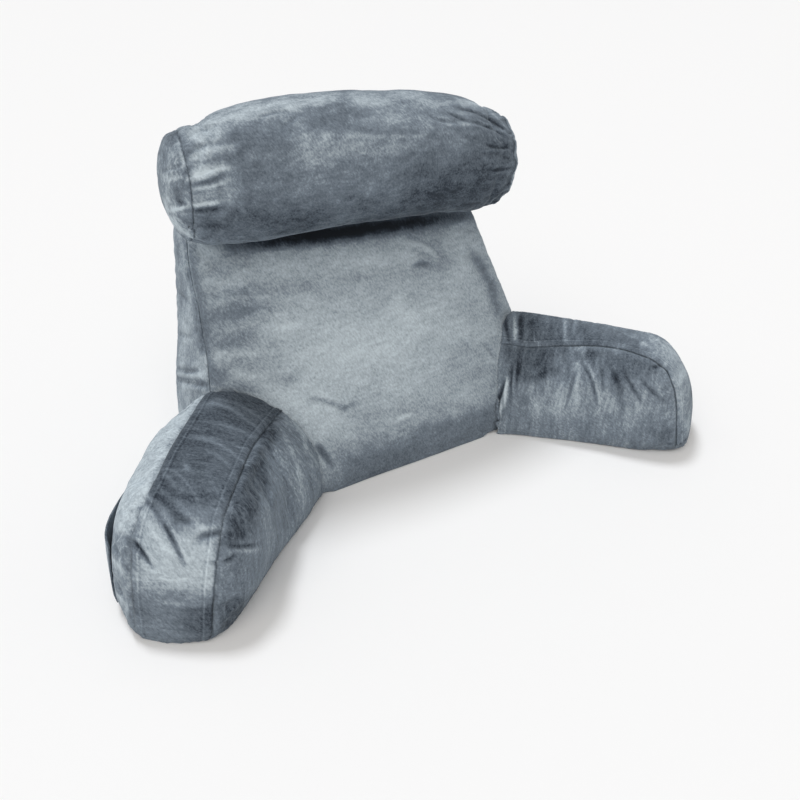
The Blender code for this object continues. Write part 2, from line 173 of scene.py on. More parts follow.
# Sewn edges trued to a path: each edge within reach of its path, in mm, is drawn onto it.
Edge = namedtuple("Edge", "piece sight path reach")
EDGES = marks(Edge, {
    ("velour_gusset", "camera"): [
        (((185, 236), (188, 272), (193, 290), (197, 307), (201, 333), (205, 355), (208, 377),
          (208, 388)), 26),
    ],
    ("velour_band_left", "camera"): [
        (((207, 390), (196, 406), (184, 425), (169, 449), (157, 475), (146, 495), (138, 515),
          (132, 535), (130, 552), (130, 575), (131, 600), (135, 631)), 22),
        (((284, 407), (268, 426), (253, 445), (242, 470), (231, 497), (223, 518), (218, 552),
          (214, 587), (212, 638)), 22),
    ],
    ("velour_band_right", "camera"): [
        (((504, 343), (528, 347), (565, 345), (600, 345), (623, 348), (638, 353), (651, 358),
          (668, 370), (676, 390), (678, 410), (677, 445)), 26),
    ],
    ("velour_roll_end_left", "camera"): [
        (((176, 128), (183, 152), (188, 173), (191, 196), (193, 228)), 16),
    ],
})
EDGE_SPREAD = 30.0 * MM
EDGE_FADE = 4 * MM
EDGE_POINTS = 6

# Marks. Paths and outlines are as a sight sees them, in pixels of the camera's frame or in mm of
# another sight. Crease widths and depths are in mm; a depth below 0 is a ridge.
Crease = namedtuple("Crease", "piece sight path width depth")
CREASES = marks(Crease, {
    ("velour_roll", "camera"): [
        (((257, 124), (270, 113), (300, 114)), 2.6, 1.2),
        (((278, 130), (292, 120), (303, 112)), 2.4, 1.0),
        (((424, 110), (440, 121), (462, 121)), 2.4, 1.5),
        (((442, 108), (456, 117), (472, 123)), 2.0, 1.6),
        (((470, 123), (488, 127), (507, 137)), 2.0, 1.2),
        (((428, 137), (435, 138), (442, 137)), 2.2, 0.9),
        (((452, 109), (478, 114), (502, 129)), 2.4, 1.3),
        (((486, 118), (498, 124), (509, 133)), 2.2, 1.0),
        (((484, 143), (499, 147), (513, 144)), 2.2, 1.8),
        (((473, 153), (495, 153), (514, 155)), 2.4, 1.0),
        (((488, 170), (501, 169), (516, 168)), 2.0, 1.6),
        (((192, 207), (206, 205), (220, 203)), 2.0, -1.8),
        (((191, 182), (207, 177), (223, 170)), 2.2, -1.5),
        (((191, 191), (208, 187), (228, 181)), 2.2, -1.1),
        (((192, 212), (208, 210), (224, 209)), 2.2, 1.2),
        (((186, 152), (205, 146), (226, 142)), 2.6, 0.9),
        (((183, 140), (205, 130), (230, 122)), 3.0, 0.9),
    ],
    ("velour_roll_end_left", "camera"): [
        (((163, 171), (173, 168), (184, 167)), 2.0, 1.0),
        (((165, 196), (177, 191), (188, 190)), 2.0, 1.0),
        (((172, 209), (182, 207), (190, 206)), 2.0, -1.4),
    ],
    ("velour_back", "camera"): [
        (((308, 400), (326, 402), (345, 410)), 3.2, 1.4),
        (((337, 411), (347, 407), (356, 401)), 3.2, 1.1),
        (((317, 445), (324, 454), (333, 466)), 3.6, 2.0),
        (((482, 343), (490, 350), (496, 359)), 3.4, 1.6),
        (((458, 338), (464, 342), (470, 348)), 3.2, 1.1),
        (((413, 269), (422, 264), (432, 266)), 3.2, 1.4),
        (((406, 243), (424, 247), (437, 257)), 3.4, -0.8),
        (((395, 421), (404, 417), (413, 414)), 3.0, -0.6),
    ],
    ("velour_band_left", "camera"): [
        (((132, 541), (141, 551), (152, 568)), 2.4, 2.8),
        (((145, 497), (154, 507), (164, 519)), 2.8, 2.0),
        (((157, 474), (166, 487), (176, 496)), 3.2, 1.0),
        (((168, 530), (176, 547), (184, 566)), 2.4, 1.7),
        (((195, 542), (211, 534), (227, 535)), 3.0, 1.8),
        (((174, 524), (186, 521), (199, 523)), 2.6, 0.9),
        (((208, 477), (217, 491), (225, 501)), 2.4, 1.3),
        (((207, 561), (213, 563), (221, 562)), 2.2, 1.8),
        (((134, 497), (142, 505), (147, 512)), 2.4, 1.2),
    ],
    ("velour_arm_left", "camera"): [
        (((228, 546), (243, 547), (260, 544)), 2.2, 1.9),
        (((222, 562), (229, 560), (236, 555)), 2.2, 1.8),
        (((228, 512), (237, 523), (246, 538)), 2.8, 1.2),
        (((251, 462), (266, 485), (272, 515)), 3.2, 0.9),
        (((112, 540), (118, 553), (125, 563)), 2.6, 1.6),
        (((119, 532), (126, 538), (131, 545)), 2.4, 1.4),
        (((113, 575), (118, 585), (123, 600)), 2.6, 1.2),
    ],
    ("velour_band_right", "camera"): [
        (((506, 318), (507, 330), (511, 343)), 2.6, 2.0),
        (((524, 313), (522, 327), (527, 346)), 2.8, 2.8),
        (((516, 315), (515, 328), (516, 343)), 2.2, -1.6),
        (((549, 318), (551, 330), (550, 345)), 2.4, 0.9),
        (((564, 318), (565, 330), (564, 344)), 2.0, -1.2),
        (((580, 316), (575, 325), (573, 336)), 2.2, -0.9),
        (((602, 322), (628, 333), (650, 345)), 2.8, 1.0),
    ],
    ("velour_arm_right", "camera"): [
        (((504, 382), (498, 402), (494, 428)), 2.8, 3.4),
        (((512, 362), (510, 380), (509, 400)), 2.4, 2.4),
        (((522, 350), (519, 370), (515, 390)), 2.4, 1.9),
        (((503, 396), (502, 410), (501, 424)), 2.2, 2.0),
        (((506, 380), (505, 396), (502, 412)), 2.2, -1.6),
        (((582, 361), (591, 380), (597, 405)), 2.4, 1.5),
        (((600, 364), (602, 376), (603, 390)), 2.4, 1.6),
        (((575, 369), (571, 388), (565, 408)), 2.2, 1.1),
        (((608, 366), (618, 386), (622, 408)), 2.8, 1.1),
        (((624, 373), (632, 388), (642, 404)), 2.4, 1.3),
        (((639, 376), (650, 390), (665, 401)), 2.4, 1.2),
        (((652, 368), (658, 366), (662, 364)), 2.8, 2.4),
    ],
    ("velour_gusset", "camera"): [
        (((176, 379), (193, 382), (208, 386)), 3.4, 3.6),
        (((175, 368), (188, 371), (200, 370)), 3.2, 2.8),
        (((176, 330), (186, 336), (196, 335)), 3.2, 1.2),
        (((175, 292), (182, 296), (190, 305)), 3.2, 1.2),
    ],
    ("velour_back", "rear"): [
        (((-150, 60), (-120, 40), (-80, 44)), 4.0, 2.2),
        (((-160, 20), (-130, -20), (-132, -60)), 4.4, 1.8),
        (((150, 70), (120, 62), (84, 70)), 4.0, 2.2),
        (((170, -10), (140, -30), (110, -26)), 4.2, 1.6),
        (((-70, -60), (-20, -78), (40, -70)), 4.6, 1.2),
        (((150, -90), (158, -120), (152, -150)), 4.2, 2.0),
        (((-150, -100), (-162, -126), (-158, -152)), 4.2, 1.8),
    ],
    ("velour_gusset", "right"): [
        (((-60, 60), (-30, 66), (0, 60)), 3.6, 1.8),
        (((-90, -20), (-60, -10), (-30, -16)), 3.6, 1.8),
    ],
    ("velour_gusset", "left"): [
        (((20, 60), (40, 54), (66, 58)), 3.6, 1.6),
    ],
    ("velour_arm_right", "right"): [
        (((150, -60), (140, -90), (150, -120)), 3.2, 2.0),
        (((60, -50), (70, -80), (66, -110)), 3.2, 1.8),
        (((110, -60), (112, -90), (104, -116)), 3.0, 1.4),
    ],
    ("velour_arm_left", "left"): [
        (((-60, -60), (-66, -86), (-60, -112)), 3.2, 1.8),
    ],
    ("velour_roll", "rear"): [
        (((-190, 170), (-160, 166), (-130, 168)), 2.8, 1.6),
        (((-192, 140), (-160, 146), (-136, 142)), 2.8, 1.6),
        (((190, 166), (160, 160), (132, 166)), 2.8, 1.6),
        (((192, 192), (166, 184), (140, 186)), 2.6, 1.2),
        (((-60, 200), (0, 194), (70, 198)), 3.4, 0.9),
    ],
})

# Gathers along a seam: how far apart, how far in from the seam, how wide, how deep and how slanted.
Gather = namedtuple("Gather", "piece seam spacing reach width depth slant seed")
GATHERS = [
    Gather("velour_roll", "velour_roll_end_left", 9, 34, 2.4, 1.0, 0.15, 1),
    Gather("velour_roll", "velour_roll_end_right", 8, 40, 2.4, 1.3, -0.20, 2),
    Gather("velour_roll_end_left", "velour_roll_end_left", 10, 22, 2.2, 0.8, 0.5, 3),
    Gather("velour_roll_end_right", "velour_roll_end_right", 10, 22, 2.2, 0.8, -0.5, 4),
    Gather("velour_arm_left", "velour_band_left", 22, 34, 2.6, 0.5, 0.3, 5),
    Gather("velour_arm_right", "velour_band_right", 16, 52, 2.6, 0.7, 0.2, 6),
    Gather("velour_band_left", "velour_band_left", 26, 18, 2.6, 0.4, 0.4, 7),
    Gather("velour_band_right", "velour_band_right", 20, 20, 2.6, 0.5, 0.3, 8),
    Gather("velour_gusset", "velour_gusset", 20, 26, 3.6, 0.9, 0.4, 9),
    Gather("velour_back", "velour_gusset", 28, 34, 4.4, 0.5, 0.5, 10),
]

# Beside a seam: the share of a gather's depth left at it, how far it calms the crumples, how far off it
# is measured in mm, and how far a cushion is tucked below a sheet and grooved beside it.
SEAM_CALM = 0.35
SEAM_HOLD = 14.0 * MM
SEAM_SIGHT = 60.0
TUCK_REACH = 9.0 * MM
GROOVE = 2.6 * MM

# A fold's low lip: its height as a share of the depth, and its place and width in fold widths.
LIP_HEIGHT = 0.35
LIP_PLACE = 2.0
LIP_WIDTH = 0.8

# How far a crease reaches before it fades, and how long that fading takes, in fold widths.
CREASE_REACH = 4
CREASE_FADE = 2

# How creases and strokes taper: the share of their length left out at each end, and the power.
CREASE_TAPER = (0.02, 0.6)
STROKE_TAPER = (0.04, 0.5)
CREASE_MOST = 2

# How much a seam's gathers differ: shares of their spacing, reach, width, slant and depth, how much wider
# they are where they end, and how far from the seam they are calm, in widths.
GATHER_JITTER = 0.4
GATHER_UNEVEN = 1.5
GATHER_REACH_LEAST = 0.35
GATHER_REACH_MORE = 0.9
GATHER_WIDTHS = (0.7, 1.4)
GATHER_SLANTS = (-0.6, 1.0)
GATHER_DEPTH_LEAST = 0.4
GATHER_WIDENING = 0.5
GATHER_CALM = 2

# Crumples: soft uneven swells and hollows all over a piece, by their size and height in mm.
Crumple = namedtuple("Crumple", "piece size height seed")
CRUMPLES = [
    Crumple("velour_back", 70, 1.4, 11),
    Crumple("velour_back", 24, 0.35, 22),
    Crumple("velour_arm_left", 45, 1.4, 12),
    Crumple("velour_arm_left", 16, 0.35, 23),
    Crumple("velour_arm_right", 45, 1.4, 13),
    Crumple("velour_arm_right", 16, 0.4, 24),
    Crumple("velour_roll", 50, 1.5, 14),
    Crumple("velour_roll", 17, 0.5, 15),
    Crumple("velour_gusset", 34, 1.8, 16),
    Crumple("velour_gusset", 14, 0.7, 17),
    Crumple("velour_band_left", 30, 0.7, 18),
    Crumple("velour_band_right", 24, 0.9, 19),
    Crumple("velour_roll_end_left", 18, 1.2, 20),
    Crumple("velour_roll_end_right", 18, 1.2, 21),
]

# Brushed pile, with painted light and shade: a patch is an outline, a stroke is a path, both with a soft
# width in the sight's units. Most are the pile's own brushing; the rows noted below are painted
# highlights and painted shade. Tone above 0 is lighter, below 0 darker.
Patch = namedtuple("Patch", "piece sight outline width tone")
PATCHES = marks(Patch, {
    ("velour_roll", "camera"): [
        # Painted highlight along the roll's lit top, in this row and the two after it.
        (((180, 128), (240, 100), (340, 90), (330, 104), (262, 112), (222, 134), (190, 142)), 9, 0.26),
        (((352, 92), (400, 93), (402, 106), (372, 110), (350, 104)), 8, 0.18),
        (((400, 92), (470, 100), (488, 106), (450, 108), (404, 104)), 6, 0.20),
        (((326, 100), (342, 102), (348, 126), (312, 130), (306, 120)), 5, -0.12),
        (((350, 112), (432, 116), (430, 132), (352, 131)), 6, 0.08),
        (((300, 136), (436, 138), (420, 150), (330, 166), (298, 160)), 10, 0.14),
        (((205, 138), (244, 128), (262, 136), (240, 160), (210, 166)), 8, -0.12),
        # Painted shade on the roll's underside and low right end, in this row and the two after it.
        (((424, 150), (520, 138), (524, 214), (350, 242), (344, 226), (400, 186)), 24, -0.20),
        (((250, 190), (330, 200), (310, 222), (230, 230)), 14, -0.08),
        (((196, 212), (340, 200), (505, 176), (505, 215), (340, 240), (200, 250)), 14, -0.20),
        (((192, 136), (232, 134), (236, 168), (194, 178)), 9, 0.32),
        (((474, 118), (514, 136), (518, 190), (494, 206), (474, 164)), 12, -0.10),
        (((470, 108), (505, 126), (508, 150), (474, 140)), 8, -0.10),
    ],
    ("velour_roll_end_left", "camera"): [
        (((160, 132), (178, 130), (182, 160), (164, 170), (156, 150)), 6, -0.20),
        (((158, 190), (172, 214), (190, 234), (178, 232), (160, 206)), 5, 0.31),
    ],
    ("velour_back", "camera"): [
        # Painted light that lifts the roll's shade on the panel's top.
        (((190, 244), (480, 209), (476, 262), (330, 276), (196, 290)), 12, 0.10),
        # Painted highlight over the panel's middle.
        (((290, 320), (400, 300), (440, 330), (410, 380), (330, 400), (280, 370)), 44, 0.20),
        (((262, 386), (330, 396), (352, 432), (330, 446), (300, 420)), 12, 0.12),
        (((410, 238), (448, 236), (446, 268), (418, 274)), 8, -0.14),
        # Painted shade where the panel's belly turns down to the floor.
        (((300, 520), (345, 452), (420, 432), (500, 404), (520, 460)), 18, -0.36),
        (((187, 244), (196, 244), (206, 300), (215, 376), (206, 380), (196, 300)), 3, -0.12),
        (((196, 286), (262, 280), (268, 350), (216, 372)), 16, -0.08),
        (((211, 368), (238, 382), (262, 391), (212, 391)), 8, -0.24),
        (((420, 280), (490, 280), (498, 340), (440, 360)), 16, 0.05),
    ],
    ("velour_gusset", "camera"): [
        (((196, 352), (210, 356), (208, 380), (198, 378)), 4, 0.22),
        (((176, 240), (182, 240), (186, 300), (180, 300)), 4, -0.10),
    ],
    ("velour_band_left", "camera"): [
        (((134, 502), (150, 494), (176, 524), (228, 526), (226, 590), (200, 596), (150, 592),
          (126, 580)), 22, 0.60),
        (((146, 546), (196, 546), (222, 558), (212, 576), (156, 572)), 14, 0.14),
        (((170, 500), (226, 504), (228, 528), (196, 536)), 10, 0.16),
        (((120, 592), (220, 592), (216, 655), (120, 655)), 20, 0.26),
        (((185, 606), (220, 600), (216, 645), (180, 645)), 14, -0.19),
        (((150, 494), (160, 490), (182, 515), (178, 530)), 4, -0.12),
        (((180, 450), (240, 452), (225, 500), (160, 490)), 14, 0.07),
    ],
    ("velour_arm_left", "camera"): [
        (((280, 412), (266, 424), (252, 450), (231, 500), (225, 545), (246, 540), (264, 500),
          (272, 450)), 8, -0.36),
        (((290, 430), (318, 460), (316, 500), (290, 540), (272, 545), (286, 490)), 14, 0.06),
        (((230, 552), (268, 552), (262, 600), (232, 600)), 10, 0.00),
        # Painted shade on the arm's lower right side.
        (((222, 602), (252, 598), (232, 645), (218, 645)), 9, -0.36),
        (((204, 386), (168, 410), (138, 448), (114, 492), (102, 524), (126, 534), (146, 496),
          (170, 446), (202, 400)), 6, 0.40),
        (((110, 532), (130, 534), (130, 556), (112, 552)), 5, -0.05),
        (((104, 530), (130, 532), (130, 612), (116, 600)), 8, 0.10),
    ],
    ("velour_band_right", "camera"): [
        (((524, 310), (560, 314), (560, 342), (528, 346)), 6, -0.14),
        (((566, 318), (640, 340), (640, 346), (566, 344)), 8, -0.08),
        (((628, 326), (690, 350), (690, 428), (674, 420), (668, 372), (650, 350)), 10, 0.38),
    ],
    ("velour_arm_right", "camera"): [
        (((505, 345), (562, 346), (556, 374), (524, 384), (508, 372)), 7, -0.30),
        (((562, 346), (600, 347), (596, 358), (566, 360)), 6, -0.20),
        (((594, 348), (646, 352), (660, 368), (640, 380), (612, 384), (598, 372)), 9, -0.24),
        (((610, 370), (620, 370), (624, 408), (618, 408)), 5, -0.12),
        (((528, 388), (600, 384), (650, 400), (660, 416), (530, 416)), 12, 0.10),
        (((490, 420), (680, 424), (680, 470), (480, 450)), 10, -0.03),
        (((650, 428), (676, 426), (674, 448), (650, 450)), 6, -0.16),
    ],
    ("velour_back", "rear"): [
        (((-120, 20), (60, 60), (100, 10), (20, -40), (-90, -40)), 40, 0.16),
        (((-220, -60), (-120, -70), (-100, -160), (-220, -160)), 26, -0.18),
        (((90, -20), (180, 20), (200, -60), (110, -90)), 26, -0.16),
    ],
    ("velour_arm_right", "right"): [
        (((20, -20), (190, -30), (190, -70), (20, -70)), 16, -0.16),
        (((60, -80), (170, -80), (160, -130), (70, -130)), 16, 0.16),
    ],
})
Stroke = namedtuple("Stroke", "piece sight path width tone")
STROKES = marks(Stroke, {
    ("velour_roll", "camera"): [
        # Painted highlights on the ridges of the folds at the roll's left end, and painted shade in the
        # troughs beside them, in the next seven rows.
        (((190, 158), (215, 150), (250, 142)), 3, 0.20),
        (((188, 166), (214, 160), (240, 156)), 3, -0.22),
        (((190, 178), (206, 172), (224, 168)), 1.9, 0.45),
        (((191, 184), (208, 181), (226, 175)), 2.2, -0.26),
        (((191, 189), (208, 187), (230, 181)), 1.8, 0.34),
        (((180, 207), (204, 204), (220, 202)), 1.8, 0.50),
        (((193, 212), (210, 211), (226, 208)), 2.2, -0.24),
        (((192, 222), (210, 226), (232, 224)), 4, -0.15),
        (((226, 243), (300, 235), (360, 228)), 2, 0.16),
        (((297, 129), (360, 130), (431, 132)), 4.0, -0.08),
        (((300, 134), (362, 136), (431, 137)), 2.0, 0.12),
        (((225, 158), (236, 162), (246, 158)), 4, -0.22),
        (((258, 150), (280, 144), (300, 146)), 4, -0.14),
        # Painted shade in the creases at the roll's right end and painted highlights on their lips, to the
        # end of the list.
        (((442, 108), (456, 117), (472, 123)), 1.8, -0.26),
        (((470, 123), (488, 127), (507, 137)), 1.8, -0.22),
        (((449, 122), (470, 123), (487, 129)), 1.6, 0.26),
        (((452, 109), (478, 114), (502, 129)), 2.0, -0.24),
        (((486, 118), (498, 124), (509, 133)), 1.8, -0.18),
        (((484, 131), (498, 130), (512, 134)), 1.6, 0.24),
        (((466, 102), (490, 112), (508, 129)), 1.6, 0.20),
        (((488, 171), (501, 170), (516, 169)), 1.6, -0.20),
        (((490, 173), (502, 172), (516, 171)), 1.4, 0.16),
        (((484, 144), (499, 148), (513, 145)), 1.6, -0.20),
        (((430, 119), (454, 125), (486, 124)), 2.0, 0.22),
    ],
    ("velour_roll_end_left", "camera"): [
        # Painted highlight on the ridge at the end's lower fold, and painted shade beside it, in this row and
        # the next.
        (((172, 210), (182, 208), (190, 206)), 2.5, 0.55),
        (((176, 198), (184, 205), (190, 208)), 2.5, -0.30),
        (((166, 180), (176, 178), (187, 180)), 3, 0.20),
    ],
    ("velour_gusset", "camera"): [
        (((185, 246), (196, 312), (207, 380)), 4, -0.20),
    ],
    ("velour_back", "camera"): [
        (((189, 246), (200, 312), (211, 382)), 3, -0.22),
        (((197, 274), (228, 268), (262, 260)), 9, -0.14),
        (((202, 322), (236, 311), (272, 308)), 8, -0.16),
        (((207, 348), (230, 341), (252, 330)), 8, -0.14),
        (((275, 380), (286, 378), (298, 380)), 5, -0.18),
        (((212, 304), (240, 299), (270, 297)), 5, 0.14),
        (((264, 330), (286, 326), (306, 324)), 5, 0.14),
        (((210, 357), (240, 354), (270, 353)), 5, 0.18),
        (((232, 379), (248, 377), (266, 376)), 5, 0.16),
        (((467, 248), (486, 276), (498, 309)), 5, -0.32),
        (((492, 300), (496, 307), (499, 312)), 4, -0.20),
        # Painted shade in the back's creases and painted highlights on its two ridges, in this row and the
        # four after it.
        (((309, 398), (326, 401), (345, 408)), 2.4, -0.20),
        (((338, 410), (348, 406), (357, 400)), 2.4, -0.14),
        (((413, 268), (422, 263), (432, 265)), 2.4, -0.16),
        (((406, 243), (424, 247), (437, 257)), 2.5, 0.14),
        (((396, 421), (404, 417), (414, 414)), 2.2, 0.22),
        # Painted shade in the wedge where the left arm meets the back.
        (((317, 444), (323, 453), (332, 466)), 3.4, -0.36),
        # Painted shadow under the roll, nearly black just beneath it and fading below, in this row and the
        # next.
        (((232, 245), (340, 232), (490, 211)), 8.5, -1.10),
        (((222, 252), (340, 240), (486, 219)), 12, -0.14),
        (((400, 440), (440, 424), (480, 414)), 8, -0.08),
    ],
    ("velour_band_left", "camera"): [
        # Painted shade in the band's creases and a painted highlight on a lip, in this row and the four after
        # it.
        (((132, 541), (141, 551), (152, 568)), 2.0, -0.50),
        (((165, 525), (174, 545), (185, 566)), 2.2, -0.40),
        (((146, 484), (166, 506), (196, 530)), 4, -0.18),
        (((146, 500), (162, 522), (184, 552)), 2.6, -0.34),
        (((170, 524), (179, 544), (189, 563)), 2.0, 0.22),
        (((207, 391), (236, 390), (266, 400)), 1.6, 0.30),
        (((198, 408), (212, 403), (224, 402)), 4.0, 0.22),
        (((204, 402), (236, 412), (264, 436)), 1.6, 0.26),
        (((218, 399), (246, 409), (268, 426)), 1.6, 0.18),
        (((190, 437), (222, 446), (252, 470)), 1.6, 0.28),
        (((196, 446), (226, 462), (238, 486)), 1.6, 0.18),
        (((168, 468), (186, 482), (202, 510)), 1.6, 0.20),
        (((142, 512), (156, 536), (174, 560)), 3, 0.14),
        (((178, 498), (190, 516), (206, 530)), 3, 0.14),
        (((130, 546), (131, 575), (134, 634)), 1.3, -0.40),
        (((219, 546), (215, 580), (211, 638)), 1.3, -0.40),
        # Painted shade in the crease across the band's front.
        (((195, 541), (211, 534), (228, 534)), 4.0, -0.30),
        (((183, 463), (186, 466), (190, 471)), 3, 0.30),
        (((200, 420), (240, 430), (262, 446)), 2.2, 0.20),
        (((186, 436), (222, 440), (250, 455)), 2.2, 0.16),
        (((208, 477), (217, 491), (225, 501)), 2.4, 0.26),
        (((160, 462), (172, 482), (192, 494)), 2.4, 0.14),
        (((158, 592), (186, 597), (212, 602)), 7, -0.05),
        (((150, 600), (180, 604), (206, 606)), 2.6, 0.14),
        (((142, 492), (148, 497), (152, 503)), 2.6, 0.26),
    ],
    ("velour_arm_left", "camera"): [
        # Painted highlights beside the creases at the arm's outer foot, then painted shade in the creases at
        # its front with a painted highlight on a lip, in this row and the four after it.
        (((109, 556), (117, 564), (127, 577)), 2.4, 0.28),
        (((113, 588), (120, 599), (128, 613)), 2.4, 0.24),
        (((228, 545), (243, 546), (260, 543)), 2.0, -0.26),
        (((222, 561), (229, 559), (236, 554)), 2.0, -0.24),
        (((228, 550), (243, 551), (258, 549)), 2.6, 0.26),
        (((256, 440), (276, 475), (286, 520)), 3, 0.20),
        (((262, 452), (282, 490), (284, 540)), 3, -0.20),
        (((276, 428), (296, 460), (304, 500)), 3, 0.16),
        (((246, 470), (262, 500), (268, 540)), 3, 0.12),
        (((236, 500), (246, 525), (248, 540)), 3, 0.16),
        (((286, 416), (300, 430), (308, 452)), 2.6, 0.30),
    ],
    ("velour_band_right", "camera"): [
        # Painted shade in the band's folds and painted highlights on their ridges, to the end of the list.
        (((506, 314), (506, 328), (509, 343)), 2.0, -0.26),
        (((515, 314), (515, 330), (516, 344)), 2.2, 0.45),
        (((522, 312), (520, 328), (524, 345)), 2.0, -0.30),
        (((524, 332), (525, 340), (527, 348)), 2.2, 0.40),
        (((564, 318), (565, 330), (564, 344)), 2.0, 0.30),
        (((578, 317), (575, 325), (573, 335)), 2.0, 0.24),
        (((604, 322), (630, 334), (652, 348)), 2.6, 0.18),
        (((616, 324), (640, 336), (660, 352)), 2.6, -0.16),
    ],
    ("velour_arm_right", "camera"): [
        (((652, 359), (674, 382), (678, 444)), 1.3, -0.40),
        (((545, 352), (543, 374), (540, 397)), 5, -0.11),
        (((566, 352), (568, 372), (566, 392)), 4, -0.14),
        (((590, 352), (594, 372), (598, 392)), 4, -0.12),
        (((611, 358), (618, 384), (622, 410)), 5, -0.13),
        # Painted shade in the arm's creases and painted highlights on their ridges and lips, to the end of
        # the list.
        (((504, 382), (498, 402), (494, 430)), 2.0, -0.50),
        (((512, 366), (511, 380), (512, 396)), 1.8, -0.28),
        (((520, 352), (517, 372), (516, 392)), 1.8, -0.24),
        (((507, 378), (506, 392), (503, 408)), 2.2, 0.40),
        (((502, 396), (501, 410), (500, 424)), 2.0, 0.24),
        (((582, 361), (591, 380), (597, 405)), 2.2, -0.26),
        (((585, 361), (594, 380), (600, 402)), 2.2, 0.24),
        (((600, 364), (602, 376), (603, 390)), 1.8, -0.20),
        (((575, 369), (571, 388), (565, 408)), 2.2, -0.18),
        (((578, 364), (577, 382), (578, 400)), 3, 0.20),
        (((625, 375), (634, 390), (643, 404)), 2.2, -0.24),
        (((640, 377), (651, 391), (666, 402)), 2.2, -0.22),
        (((652, 368), (658, 366), (662, 363)), 2.4, -0.18),
    ],
})

# Ragged edges: two sizes of noise move a patch's edge by up to RAGGED and a stroke's by up to
# RAGGED_STROKE, in the sight's units, and by no more than a share of the mark's own width. Blender seeds
# its vector noise from the clock, so a fixed seed keeps the edges the same each run.
WANDER_SEED = 1
WANDERS = [(16 * MM, 1.0), (6 * MM, 0.5)]
RAGGED = 6.0
RAGGED_SHARE = 0.7
RAGGED_STROKE = 2.0
RAGGED_STROKE_SHARE = 0.35

# Finishes: tone of the whole piece, how the pile pattern turns and stretches, its strengths, and how
# far from a sewn edge the seam allowance below shows as a painted highlight along its ridge, in mm.
Finish = namedtuple("Finish", "name turn stretch tone patches streaks hairs sewn hem")
FINISHES = [
    Finish("panel", (0, 0, 8), (0.6, 1.2, 1.4), 0.69, 0.22, 0.14, 0.05, 0.05, 0),
    Finish("gusset", (0, 0, 0), (1.3, 1.3, 1.0), 0.60, 0.38, 0.22, 0.08, 0.10, 0),
    Finish("band_left", (0, 0, -35.4), (0.45, 1.8, 1.6), 0.12, 0.22, 0.20, 0.12, -0.06, 8),
    Finish("band_right", (0, 0, 35.4), (0.6, 1.6, 1.4), 0.32, 0.36, 0.22, 0.20, -0.02, 8),
    Finish("arm_left", (0, 0, -35.4), (1.2, 1.9, 0.35), 0.43, 0.26, 0.34, 0.20, -0.10, 0),
    Finish("arm_right", (0, 0, 35.4), (1.2, 1.9, 0.35), 0.50, 0.26, 0.26, 0.12, -0.10, 0),
    Finish("roll", (0, 0, 0), (0.6, 1.2, 1.2), 0.44, 0.38, 0.26, 0.06, -0.40, 0),
    Finish("roll_end", (0, 0, 0), (1.2, 1.2, 1.2), 0.56, 0.60, 0.40, 0.10, -0.40, 0),
    Finish("pocket", (0, 0, -35.4), (1.0, 1.2, 0.6), 0.55, 0.34, 0.28, 0.10, -0.30, 9),
]

# The share of the tones that is kept for painted shade in the deepest folds and under the roll, and the
# way that the pile's tufts lie.
SHADE_SHARE = 0.2
PILE_LIE = Vector((0.34, -0.66, -0.67))

# Pile patterns, as how many go into a metre: swirls of 71 mm, patches of 45 mm, hair lines 38 mm apart,
# mottling of 17 mm, streaks of 8 mm and clumps of tufts of 2 mm.
SWIRL_RATE = 14.0
PATCH_RATE = 22.0
HAIR_RATE = 26.0
MOTTLE_RATE = 60.0
STREAK_RATE = 130.0
TUFT_RATE = 460.0
SWIRL_BEND = 30 * MM

# Lines along a seam, in mm: half the seam line's width, half the width of the painted highlight along
# the ridge of the allowance below, and how far off and how wide the painted shade beside that is.
SEAM_LINE = 1.8
ALLOWANCE_HIGHLIGHT = 1.3
FOLD_SHADE_OFF = 2.2
FOLD_SHADE = 1.6

# Floor and lamps: where each shines towards, as a turn right of +Y and a drop, and how broad it is.
FLOOR_SIZE = 150
KEY_TURN, KEY_DROP, KEY_SPREAD = 40, 48, 70
OVERHEAD_TURN, OVERHEAD_DROP, OVERHEAD_SPREAD = 176, 69, 13

# Cloth pressure: its frames and settings, how far inside the form it starts, and how near a sheet the
# cloth is pinned and how far off it is quite free.
SWELL_FRAMES = 20
CLOTH_QUALITY = 5
CLOTH_MASS = 0.3
CLOTH_BENDING = 0.5
START_INSET = 3.0 * MM
PIN_REACH = 4.0 * MM
PIN_FADE = 18.0 * MM
FLOOR_REACH = 3.0 * MM


def linear(colour):
    """Turn a #rrggbb sRGB colour into linear RGB."""
    channels = [int(colour[i:i + 2], 16) / 255 for i in (1, 3, 5)]
    return [c / 12.92 if c <= 0.04045 else ((c + 0.055) / 1.055) ** 2.4 for c in channels]


def settings():
    return bpy.context.scene.velour_pillow


# Sights and surfaces.

def gaze(turn, drop):
    """The forward, right and up directions of a level gaze turned right of +Y and dropped."""
    forward = Vector((math.sin(turn) * math.cos(drop), math.cos(turn) * math.cos(drop), -math.sin(drop)))
    right = Vector((math.cos(turn), -math.sin(turn), 0))
    return forward, right, right.cross(forward)


def ray(sight, x, y):
    """Where a point of the sight starts, and which way it looks."""
    if sight == "camera":
        forward, right, up = gaze(CAMERA_TURN, CAMERA_DROP)
        half = FRAME_PIXELS / 2
        return CAMERA_AT, (forward + (right * (x - half) - up * (y - half)) / FOCAL_PIXELS).normalized()
    row = SIGHTS[sight]
    forward, right, up = gaze(math.radians(row.turn), math.radians(row.drop))
    return SIGHT_MIDDLE + right * x * MM + up * y * MM - forward * SIGHT_FAR, forward


